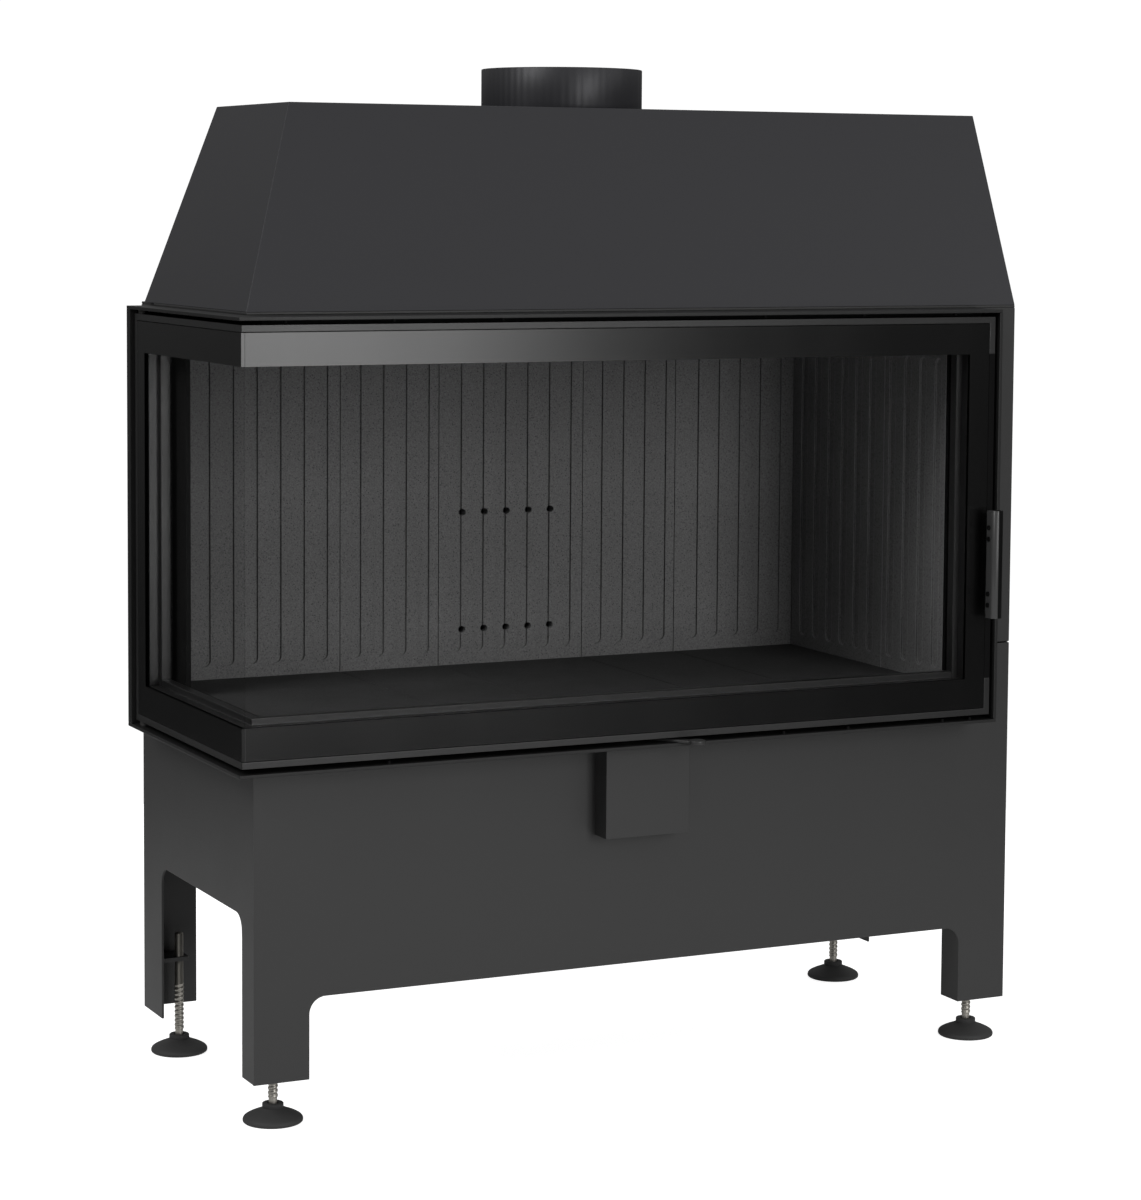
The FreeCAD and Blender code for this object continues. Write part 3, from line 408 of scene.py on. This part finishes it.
@dataclass(frozen=True)
class PaneGlass(Finish):
    """Clear ceramic glass with a black print along its framed edges.

    The fields give the plane letters and limits inside which the pane stays clear.
    """

    letter: str = "X"
    low: float = -1.0
    high: float = 1.0
    bottom: float = 0.0
    top: float = 1.0
    clear_tint: float = 0.975
    shine: float = 0.10
    print_level: float = 0.0022
    smear_stretch: tuple[float, float, float] = (3.0, 3.0, 1.2)
    smears_per_metre: float = 3.0
    ripples_per_metre: float = 4.0
    ripple_depth: float = 0.0006
    sheen_index: float = 1.3

    def surface(self, graph: Graph) -> Signal:
        """Builds the shader and returns it."""
        place = graph.place()
        along, up = graph.axis(place, self.letter), graph.axis(place, "Z")
        upright = along.below(self.low).larger(along.above(self.high))
        level = up.below(self.bottom).larger(up.above(self.top))
        printed = upright.larger(level)
        smears = graph.noise(graph.stretched(place, self.smear_stretch),
                             self.smears_per_metre, 4.0, 0.6)
        waves = graph.noise(place, self.ripples_per_metre, 1.0)
        ripple = graph.relief(waves, self.ripple_depth, 0.25)
        enamel = graph.principled(
            Base_Color=graph.blend(smears, grey(self.print_level * 0.7), grey(self.print_level * 1.6)),
            Roughness=0.19 + smears * 0.05, Normal=ripple, Specular_IOR_Level=0.5)
        through = graph.node("ShaderNodeBsdfTransparent", None, {"Color": grey(self.clear_tint)})
        shine = graph.principled(
            Base_Color=grey(0.004), Roughness=0.03 + smears * 0.05, Specular_IOR_Level=0.5)
        facing = graph.node("ShaderNodeFresnel", None, {"IOR": self.sheen_index})
        clear = graph.mixed(facing * (smears * 0.5 + 0.75) * self.shine, through, shine)
        return graph.mixed(printed, clear, enamel)


@dataclass(frozen=True)
class ZincSteel(Finish):
    """Zinc-plated threaded steel with a warm cast, brushed by handling, with painted shade darkening
    its thread grooves.

    The pitch and the two heights are those of the thread.
    """

    pitch: float
    bottom: float
    top: float
    colour: Colour = (0.190, 0.172, 0.143, 1.0)
    groove_shade: Colour = (0.022, 0.019, 0.015, 1.0)
    groove_shade_share: float = 0.9
    bloom_per_metre: float = 160.0
    lines_per_metre: float = 500.0
    line_stretch: tuple[float, float, float] = (1.0, 1.0, 6.0)
    line_depth: float = 0.00004

    def surface(self, graph: Graph) -> Signal:
        """Builds the shader and returns it."""
        place = graph.place()
        bloom = graph.noise(place, self.bloom_per_metre, 4.0, 0.6)
        fine = graph.noise(graph.stretched(place, self.line_stretch), self.lines_per_metre, 2.0)
        colour = graph.blend(bloom.spread(0.35, 0.75), self.colour, grey(0.15, 0.10))
        up = graph.axis(place, "Z")
        facing = graph.node("ShaderNodeTexCoord", output="Normal")
        angle = graph.math(Operation.ARCTAN2, graph.axis(facing, "Y"), graph.axis(facing, "X"))
        groove = (up * (math.tau / self.pitch) - angle).math(Operation.COSINE).spread(-0.3, 0.8)
        groove = groove * up.above(self.bottom) * up.below(self.top)
        # Painted shade: the thread grooves are painted nearly black.
        colour = graph.blend(groove * self.groove_shade_share, colour, self.groove_shade)
        return graph.principled(
            Base_Color=colour, Metallic=0.85, Roughness=0.28 + bloom * 0.24,
            Normal=graph.relief(fine, self.line_depth, 0.6))


@dataclass(frozen=True)
class DarkSteel(Finish):
    """Oiled steel of pins and the latch striker."""

    level: float = 0.12
    scale_per_metre: float = 120.0
    lines_per_metre: float = 300.0
    line_stretch: tuple[float, float, float] = (1.0, 1.0, 14.0)
    line_depth: float = 0.00003

    def surface(self, graph: Graph) -> Signal:
        """Builds the shader and returns it."""
        place = graph.place()
        scale = graph.noise(place, self.scale_per_metre, 4.0, 0.6)
        lines = graph.noise(graph.stretched(place, self.line_stretch), self.lines_per_metre, 2.0)
        colour = graph.blend(scale, grey(self.level * 0.6), grey(self.level * 1.5, 0.02))
        return graph.principled(Base_Color=colour, Metallic=0.8, Roughness=0.34 + scale * 0.22,
                                Normal=graph.relief(lines, self.line_depth, 0.5))


@dataclass(frozen=True)
class MouldedPlastic(Finish):
    """Black moulded plastic with a fine spark-eroded texture."""

    level: float = 0.006
    texture_per_metre: float = 1400.0
    scuffs_per_metre: float = 60.0
    texture_depth: float = 0.00008

    def surface(self, graph: Graph) -> Signal:
        """Builds the shader and returns it."""
        place = graph.place()
        texture = graph.noise(place, self.texture_per_metre, 2.0, 0.6)
        scuffs = graph.noise(place, self.scuffs_per_metre, 4.0, 0.65).spread(0.45, 0.8)
        colour = graph.blend(scuffs * 0.5, grey(self.level), grey(self.level * 2.2))
        return graph.principled(Base_Color=colour, Roughness=0.40 + scuffs * 0.2,
                                Normal=graph.relief(texture, self.texture_depth, 0.6),
                                Specular_IOR_Level=0.3)


@dataclass(frozen=True)
class BraidedFibre(Finish):
    """Black glass-fibre braid: two crossing sets of yarns."""

    level: float = 0.030
    yarns: float = 420.0
    fuzz_per_metre: float = 1500.0
    yarn_depth: float = 0.0006

    def surface(self, graph: Graph) -> Signal:
        """Builds the shader and returns it."""
        place = graph.place()
        x, y, z = (graph.axis(place, letter) for letter in "XYZ")
        run = x + y
        first = ((run + z) * self.yarns * math.tau / 4).math(Operation.SINE)
        second = ((run - z) * self.yarns * math.tau / 4).math(Operation.SINE)
        weave = first.larger(second).spread(-0.6, 1.0)
        fuzz = graph.noise(place, self.fuzz_per_metre, 2.0, 0.7)
        colour = graph.blend(weave * 0.7 + fuzz * 0.3, grey(self.level * 0.4), grey(self.level * 1.6))
        return graph.principled(Base_Color=colour, Roughness=0.9,
                                Normal=graph.relief(weave * 0.7 + fuzz * 0.3, self.yarn_depth))


@dataclass(frozen=True)
class Sealant(Finish):
    """Clear high-temperature silicone, slightly wavy, over print above and below."""

    level: float = 0.008
    bottom: float = 0.0
    top: float = 1.0
    clearness: float = 0.93
    waves_per_metre: float = 90.0
    wave_depth: float = 0.0002

    def surface(self, graph: Graph) -> Signal:
        """Builds the shader and returns it."""
        place = graph.place()
        up = graph.axis(place, "Z")
        waves = graph.noise(place, self.waves_per_metre, 2.0)
        colour = graph.blend(waves, grey(self.level * 0.7), grey(self.level * 1.4))
        silicone = graph.principled(Base_Color=colour, Roughness=0.34 + waves * 0.2,
                                    Normal=graph.relief(waves, self.wave_depth, 0.5))
        through = graph.node("ShaderNodeBsdfTransparent", None, {"Color": grey(0.98)})
        clear = up.above(self.bottom) * up.below(self.top) * (self.clearness + waves * 0.06)
        return graph.mixed(clear, silicone, through)


@dataclass(frozen=True)
class PaleFloor(Finish):
    """Plain pale studio floor with a hardly visible grain."""

    level: float = 0.80
    glow: float = 0.85
    bounce: float = 0.10

    def surface(self, graph: Graph) -> Signal:
        """Builds the shader and returns it.

        The floor glows, and less so in the light that it throws on the stove.
        """
        grain = graph.noise(graph.place(), 30.0, 3.0)
        colour = graph.blend(grain, grey(self.level * 0.99), grey(self.level * 1.01))
        seen = graph.node("ShaderNodeLightPath", output="Is Camera Ray")
        glow = graph.blend(seen, grey(self.bounce), grey(self.glow))
        return graph.principled(Base_Color=colour, Roughness=0.9, Specular_IOR_Level=0.1,
                                Emission_Color=glow, Emission_Strength=1.0)


# ---------------------------------------------------------------- mesh building

Profile = Sequence[tuple[float, float]]
ON_AXIS = 1e-6


def smooth_profile(points: Profile, steps: int = 5) -> list[tuple[float, float]]:
    """Rounds a profile with a spline through its points.

    Args:
        points: radius and height of each point.
        steps: how many points take the place of each span.

    Returns:
        The finer profile.
    """
    line = [Vector(point) for point in points]
    fine: list[tuple[float, float]] = []
    for index in range(len(line) - 1):
        before = line[max(index - 1, 0)]
        start, end = line[index], line[index + 1]
        after = line[min(index + 2, len(line) - 1)]
        for step in range(steps):
            t = step / steps
            point = 0.5 * (2 * start + (end - before) * t
                           + (2 * before - 5 * start + 4 * end - after) * t * t
                           + (3 * start - before - 3 * end + after) * t ** 3)
            fine.append((max(point.x, 0.0), point.y))
    fine.append(tuple(line[-1]))
    return fine


def turned(name: str, profile: Profile, centre: Vector, sides: int = 64,
           radius_at: Optional[Callable[[float, float, float], float]] = None) -> bpy.types.Object:
    """Turns a profile round an upright axis into a closed mesh.

    Args:
        name: the piece's name.
        profile: radius and height of each ring, from the bottom up; end radii of 0 close it.
        centre: the foot of the axis.
        sides: how many sides the turning has.
        radius_at: the radius at a given radius, height and angle, where it isn't round.

    Returns:
        The piece, smoothly shaded, at the origin.
    """
    mesh = bmesh.new()
    rings = []
    for radius, height in profile:
        if radius < ON_AXIS:
            rings.append([mesh.verts.new(centre + Vector((0, 0, height)))])
            continue
        ring = []
        for side in range(sides):
            angle = math.tau * side / sides
            reach = radius_at(radius, height, angle) if radius_at else radius
            spot = Vector((reach * math.cos(angle), reach * math.sin(angle), height))
            ring.append(mesh.verts.new(centre + spot))
        rings.append(ring)
    for lower, upper in zip(rings, rings[1:]):
        for side in range(sides):
            after = (side + 1) % sides
            if len(lower) == 1:
                mesh.faces.new((lower[0], upper[side], upper[after]))
            elif len(upper) == 1:
                mesh.faces.new((lower[side], lower[after], upper[0]))
            else:
                mesh.faces.new((lower[side], lower[after], upper[after], upper[side]))
    bmesh.ops.recalc_face_normals(mesh, faces=mesh.faces)
    data = bpy.data.meshes.new(name)
    mesh.to_mesh(data)
    mesh.free()
    data.shade_smooth()
    piece = bpy.data.objects.new(name, data)
    bpy.context.scene.collection.objects.link(piece)
    return piece


def split_sharp(piece: bpy.types.Object, degrees: float = 35.0) -> None:
    """Keeps the edges sharper than an angle crisp in the shading of a smooth piece."""
    mesh = bmesh.new()
    mesh.from_mesh(piece.data)
    for edge in mesh.edges:
        if len(edge.link_faces) == 2 and edge.calc_face_angle() > math.radians(degrees):
            edge.smooth = False
    mesh.to_mesh(piece.data)
    mesh.free()


# ---------------------------------------------------------------- sub-assemblies

WELD_REACH = 0.00001
SOFTENED_ANGLE = 40
CONTROL_EDGE = 0.0006


@dataclass
class SubAssembly:
    """A group of nodes that are dressed together."""

    title: str
    pieces: list[str] = field(default_factory=list, init=False)

    def dress(self, finish: Finish, *names: str, soft: float = 0.0) -> None:
        """Gives nodes a finish and, where asked, a small radius on their edges.

        Args:
            finish: the finish.
            names: the nodes.
            soft: the radius of the edges; 0 leaves them as they are.
        """
        for name in names:
            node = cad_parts[name]
            finish.put_on(node)
            if soft:
                self.soften(node, soft)
            self.pieces.append(name)

    @staticmethod
    def soften(node: bpy.types.Object, width: float) -> None:
        """Rounds the edges of a node with modifiers, without touching its mesh."""
        weld = node.modifiers.new("joined", "WELD")
        weld.merge_threshold = WELD_REACH
        bevel = node.modifiers.new("soft_edges", "BEVEL")
        bevel.width = width
        bevel.segments = 2
        bevel.limit_method = "ANGLE"
        bevel.angle_limit = math.radians(SOFTENED_ANGLE)
        bevel.harden_normals = True

    def report(self) -> None:
        """Logs the pieces that were dressed."""
        LOG.info("%s: %s", self.title, ", ".join(self.pieces))


@dataclass
class Casing(SubAssembly):
    """Base, casing, hood and flue collar."""

    paint: HeatProofPaint = HeatProofPaint("stove_paint")
    # The hood and the flue collar take a darker copy of the stove paint, as painted shade.
    hood_paint: HeatProofPaint = HeatProofPaint("hood_paint", level=0.022)
    steel: DarkSteel = DarkSteel("dark_steel")
    edge: float = 0.0009

    def build(self) -> None:
        """Dresses the sheets of the casing."""
        self.dress(self.paint, "base_front", "base_left", "base_right", "base_rear",
                   "casing_rear", "casing_right", "casing_front_right", "top_plate", soft=self.edge)
        self.dress(self.hood_paint, "hood", "flue_collar", soft=self.edge)
        self.dress(self.paint, "firebox_base", "firebox_rear_wall", "firebox_right_wall",
                   "secondary_air_duct")
        self.dress(self.paint, "foot_brackets")
        self.dress(self.steel, "pivot_pins")


@dataclass
class Portal(SubAssembly):
    """The frame round the door and the steel faces that the door closes against."""

    paint: HeatProofPaint = HeatProofPaint("portal_paint", level=0.011, roughness=0.46, specular=0.35)
    # The faces behind the door and the spacers are painted near black: painted shade in the gaps round
    # the door.
    gap_shade_paint: HeatProofPaint = HeatProofPaint("painted_gap_shade_black", level=0.005, roughness=0.70, specular=0.15)
    steel: DarkSteel = DarkSteel("dark_steel")
    edge: float = 0.0008

    def build(self) -> None:
        """Dresses the portal."""
        self.dress(self.paint, "portal_top", "portal_bottom", "portal_right", "portal_rear",
                   soft=self.edge)
        self.dress(self.gap_shade_paint, "face_sill", "face_lintel", "face_post_right", "face_post_rear",
                   soft=self.edge)
        self.dress(self.gap_shade_paint, "portal_spacers")
        self.dress(self.steel, "latch_striker")


@dataclass
class Firebox(SubAssembly):
    """The fluted lining, the hearth plates and the baffle."""

    lining: CastLining = CastLining("cast_lining")
    # The right lining has its edges painted lighter, as painted highlights.
    lining_with_painted_highlights: CastLining = CastLining("lining_with_painted_highlights", flute_highlight=0.8)
    hearth: CastLining = CastLining("hearth_lining", level=0.055, soot=0.5)
    edge: float = 0.0012

    def build(self) -> None:
        """Dresses the lining."""
        backs = ["back_lining_%d" % number for number in range(1, 6)]
        self.dress(self.lining, *backs, "baffle", soft=self.edge)
        self.dress(self.lining_with_painted_highlights, "right_lining", soft=self.edge)
        self.dress(self.hearth, "hearth_plates", soft=self.edge)


@dataclass
class Door(SubAssembly):
    """The two panes, their frame and their seals. The prints are border widths on the panes."""

    frame_paint: HeatProofPaint = HeatProofPaint("door_paint", level=0.014, roughness=0.36)
    rope: BraidedFibre = BraidedFibre("rope_seal")
    tape: BraidedFibre = BraidedFibre("gasket_tape", yarns=900.0)
    side_print: float = 0.028
    low_print: float = 0.046
    rim_print: float = 0.012
    edge: float = 0.0009

    def build(self) -> None:
        """Dresses the door and prints the borders of its panes."""
        self.dress(self.frame_paint, "door_rail_top", "door_rail_bottom", "door_stile_rear",
                   soft=self.edge)
        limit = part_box("front_glass")[1].x - self.rim_print
        self.dress(EdgedPaint("door_edge_paint", level=0.014, roughness=0.36, limit=limit),
                   "door_stile_right", soft=self.edge)
        self.dress(self.rope, "door_rope_seal")
        self.dress(self.tape, "glass_gasket")
        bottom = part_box("door_rail_bottom")[0].z + self.low_print
        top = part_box("door_rail_top")[0].z
        self.dress(Sealant("glass_seal", bottom=bottom, top=top), "glass_corner_seal")
        front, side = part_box("front_glass"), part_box("side_glass")
        clear_right = front[1].x - self.side_print
        clear_rear = side[1].y - self.side_print
        self.dress(PaneGlass("front_pane", "X", front[0].x - 1, clear_right, bottom, top),
                   "front_glass")
        self.dress(PaneGlass("side_pane", "Y", side[0].y - 1, clear_rear, bottom, top),
                   "side_glass")


@dataclass
class Controls(SubAssembly):
    """The door handle, and the air lever with its box."""

    satin: HeatProofPaint = HeatProofPaint("handle_paint", level=0.030, roughness=0.34)
    paint: HeatProofPaint = HeatProofPaint("stove_paint")
    grip_shadow_split: float = 0.45
    black: HeatProofPaint = HeatProofPaint("blackened_steel", level=0.003, roughness=0.6, specular=0.1)
    steel: DarkSteel = DarkSteel("dark_steel")

    def build(self) -> None:
        """Dresses the handle and the air control."""
        self.dress(self.satin, "handle_arm", "lever_knob", "air_lever", soft=CONTROL_EDGE)
        # The grip is painted lighter than the rest of the handle, as painted light on its lit face, and
        # deep black beyond the split, as a painted shadow over its right part.
        low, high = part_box("handle_grip")
        limit = low.x + (high.x - low.x) * self.grip_shadow_split
        self.dress(EdgedPaint("grip_painted_light_and_shadow", level=0.050, roughness=0.34, limit=limit),
                   "handle_grip", soft=CONTROL_EDGE)
        self.dress(self.steel, "handle_pin")
        self.dress(self.black, "handle_screws")
        self.dress(self.paint, "air_box_cover", "air_chamber", "air_inlet_spigot", soft=CONTROL_EDGE)


@dataclass
class Feet(SubAssembly):
    """Four levelling feet: rods with a rolled thread in wide moulded pads."""

    plastic: MouldedPlastic = MouldedPlastic("pad_plastic")
    corners: tuple[str, ...] = ("front_left", "front_right", "rear_left", "rear_right")
    pitch: float = 0.0056
    thread_depth: float = 0.0010
    thread_bottom: float = 0.0285
    thread_top: float = 0.086
    run_out: float = 0.4
    groove_shape: float = 1.4
    neck: float = 0.0049
    neck_gap: float = 0.0006
    shank: float = 0.0053
    shank_gap: float = 0.0005
    crest_play: float = 0.0001
    chamfer: float = 0.0008
    thread_crease: float = 50.0
    rod_sides: int = 40
    rings_per_turn: int = 8
    pad_sides: int = 72
    collar_share: float = 0.355
    base_chamfer: float = 0.0014
    collar_foot: float = 0.0166
    bore: float = 0.0062
    bore_floor: float = 0.0125
    bore_chamfer: float = 0.0006

    def build(self) -> None:
        """Builds the rods and the pads and hides their plain nodes."""
        self.zinc = ZincSteel("zinc_steel", self.pitch, self.thread_bottom, self.thread_top)
        for corner in self.corners:
            self.rod(corner)
            self.pad(corner)

    def thread(self, radius: float, height: float, angle: float) -> float:
        """Returns the radius of the rod's surface.

        Args:
            radius: the radius over the thread's crests.
            height: the height above the rod's own foot.
            angle: the angle round the axis.

        Returns:
            The radius there, less where the groove is.
        """
        if not self.thread_bottom <= height <= self.thread_top:
            return radius
        phase = (height / self.pitch - angle / math.tau) % 1.0
        groove = 0.5 + 0.5 * math.cos(math.tau * phase)
        run = min(height - self.thread_bottom, self.thread_top - height) / self.pitch
        return radius - self.thread_depth * groove ** self.groove_shape * min(1.0, self.run_out + run)

    def rod(self, corner: str) -> None:
        """Builds one threaded rod in the place of its plain node."""
        low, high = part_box("foot_rod_" + corner)
        middle = (low + high) / 2
        crest = (high.x - low.x) / 2 - self.crest_play
        profile = [(0.0, low.z), (self.neck, low.z),
                   (self.neck, self.thread_bottom - self.neck_gap)]
        turns = (self.thread_top - self.thread_bottom) / self.pitch
        steps = round(turns * self.rings_per_turn)
        for step in range(steps + 1):
            share = step / steps
            profile.append((crest, self.thread_bottom + (self.thread_top - self.thread_bottom) * share))
        profile += [(self.shank, self.thread_top + self.shank_gap),
                    (self.shank, high.z - self.chamfer),
                    (self.shank - self.chamfer, high.z), (0.0, high.z)]
        piece = turned("threaded_rod_" + corner, profile, Vector((middle.x, middle.y, 0.0)),
                       self.rod_sides, self.thread)
        split_sharp(piece, self.thread_crease)
        self.finish(piece, self.zinc, "foot_rod_" + corner, corner, "zinc_steel")

    def pad(self, corner: str) -> None:
        """Builds one moulded pad in the place of its plain node."""
        low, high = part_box("foot_pad_" + corner)
        middle = (low + high) / 2
        rim = (high.x - low.x) / 2
        collar = rim * self.collar_share
        top = high.z
        dome = smooth_profile([
            (rim, 0.0036), (rim * 0.955, 0.0062), (rim * 0.80, 0.0094), (rim * 0.60, 0.0124),
            (rim * 0.44, 0.0147), (collar * 1.04, 0.0160)])
        profile = [(0.0, 0.0), (rim - self.base_chamfer, 0.0), (rim - 0.0003, 0.0009), (rim, 0.0018)]
        profile += dome
        profile += [(collar * 0.97, self.collar_foot), (collar, 0.0172), (collar, top - self.chamfer),
                    (collar - self.chamfer, top), (self.bore + self.bore_chamfer, top),
                    (self.bore, top - self.chamfer), (self.bore, self.bore_floor),
                    (0.0, self.bore_floor)]
        piece = turned("moulded_pad_" + corner, profile, Vector((middle.x, middle.y, 0.0)),
                       self.pad_sides)
        split_sharp(piece)
        self.finish(piece, self.plastic, "foot_pad_" + corner, corner, "pad_plastic")

    def finish(self, piece: bpy.types.Object, finish: Finish, node: str, corner: str,
               slot: str) -> None:
        """Gives a new piece its finish and its body, and hides the plain node that it stands for."""
        finish.put_on(piece)
        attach(piece, "foot_" + corner)
        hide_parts(node)
        self.pieces.append(piece.name)


# ---------------------------------------------------------------- studio

@dataclass
class Viewpoint:
    """The camera: where it stands and how it is turned."""

    position: tuple[float, float, float] = (-1.7170, -3.5380, 1.0642)
    yaw: float = 25.659
    pitch: float = -4.571
    roll: float = 0.387
    focal_length: float = 95.81
    rise: float = -0.12
    sensor: float = 36.0
    farthest: float = 200.0

    def build(self) -> None:
        """Adds the camera and makes it the scene's own."""
        data = bpy.data.cameras.new("viewpoint")
        data.lens = self.focal_length
        data.sensor_width = self.sensor
        data.shift_y = self.rise
        data.clip_end = self.farthest
        camera = bpy.data.objects.new("viewpoint", data)
        turn = (Matrix.Rotation(math.radians(-self.yaw), 4, "Z")
                @ Matrix.Rotation(math.radians(90 + self.pitch), 4, "X")
                @ Matrix.Rotation(math.radians(self.roll), 4, "Z"))
        camera.matrix_world = Matrix.Translation(self.position) @ turn
        bpy.context.scene.collection.objects.link(camera)
        bpy.context.scene.camera = camera


@dataclass
class SoftBox:
    """One rectangular studio light."""

    name: str
    position: tuple[float, float, float]
    target: tuple[float, float, float]
    width: float
    height: float
    power: float

    def build(self) -> None:
        """Adds the light, turned to its target."""
        data = bpy.data.lights.new(self.name, "AREA")
        data.shape = "RECTANGLE"
        data.size = self.width
        data.size_y = self.height
        data.energy = self.power
        light = bpy.data.objects.new(self.name, data)
        aim = Vector(self.target) - Vector(self.position)
        light.rotation_euler = aim.to_track_quat("-Z", "Y").to_euler()
        light.location = self.position
        bpy.context.scene.collection.objects.link(light)


@dataclass
class Studio:
    """Pale floor, soft light, dim walls and a brighter ceiling."""

    floor_reach: float = 1.8
    floor_gap: float = 0.0005
    backdrop: float = 1.05
    rear_wall: float = 0.09
    left_wall: float = 0.12
    front_wall: float = 0.05
    ceiling: float = 0.54
    below: float = 0.03
    viewpoint: Viewpoint = field(default_factory=Viewpoint)
    lights: tuple[SoftBox, ...] = (
        SoftBox("front_softbox", (1.00, -4.6, 1.45), (1.00, 0.0, 1.45), 1.6, 2.6, 74.0),
        SoftBox("right_softbox", (3.8, -3.0, 2.9), (0.0, 0.0, 0.9), 1.6, 1.6, 12.0),
        SoftBox("left_softbox", (-3.6, -0.8, 3.2), (0.0, 0.0, 0.8), 1.8, 1.8, 66.0),
    )

    def build(self) -> None:
        """Adds the floor, the sky, the lights and the camera."""
        self.floor()
        self.sky()
        for light in self.lights:
            light.build()
        self.viewpoint.build()
        bpy.context.scene.view_settings.view_transform = "Standard"

    def floor(self) -> None:
        """Adds the floor as a wide disc."""
        mesh = bmesh.new()
        bmesh.ops.create_circle(mesh, cap_ends=True, radius=self.floor_reach, segments=64)
        data = bpy.data.meshes.new("studio_floor")
        mesh.to_mesh(data)
        mesh.free()
        floor = bpy.data.objects.new("studio_floor", data)
        floor.location.z = -self.floor_gap
        bpy.context.scene.collection.objects.link(floor)
        PaleFloor("pale_floor").put_on(floor)

    def sky(self) -> None:
        """Lights the scene from all round: dim walls behind and at the left, a dimmer one in
        front and a brighter ceiling. The backdrop itself always looks white."""
        world = bpy.data.worlds.new("studio")
        world.use_nodes = True
        bpy.context.scene.world = world
        graph = Graph(world.node_tree)
        direction = graph.node("ShaderNodeTexCoord", output="Generated")
        x, y, z = (graph.axis(direction, letter) for letter in "XYZ")
        wall = self.front_wall + (0.0 - x).spread(0.1, 1.0) * (
            self.left_wall - self.front_wall)
        wall = wall.larger(y.spread(0.0, 0.6) * self.rear_wall)
        wall = wall * z.spread(-0.12, 0.02) * (1.0 - self.below) + self.below
        light = graph.blend(z.spread(0.1, 0.7), graph.node(
            "ShaderNodeCombineColor", None, {0: wall, 1: wall, 2: wall}), grey(self.ceiling))
        seen = graph.node("ShaderNodeLightPath", output="Is Camera Ray")
        colour = graph.blend(seen, light, grey(self.backdrop))
        sky = graph.node("ShaderNodeBackground", None, {"Color": colour, "Strength": 1.0})
        graph.show(sky, "ShaderNodeOutputWorld")


def main() -> None:
    """Builds every sub-assembly and the studio, in order."""
    logging.basicConfig(level=logging.INFO, format="%(name)s: %(message)s")
    for part in (Casing("casing"), Portal("portal"), Firebox("firebox"), Door("door"),
                 Controls("controls"), Feet("feet")):
        part.build()
        part.report()
    Studio().build()


if __name__ == "__main__":
    main()
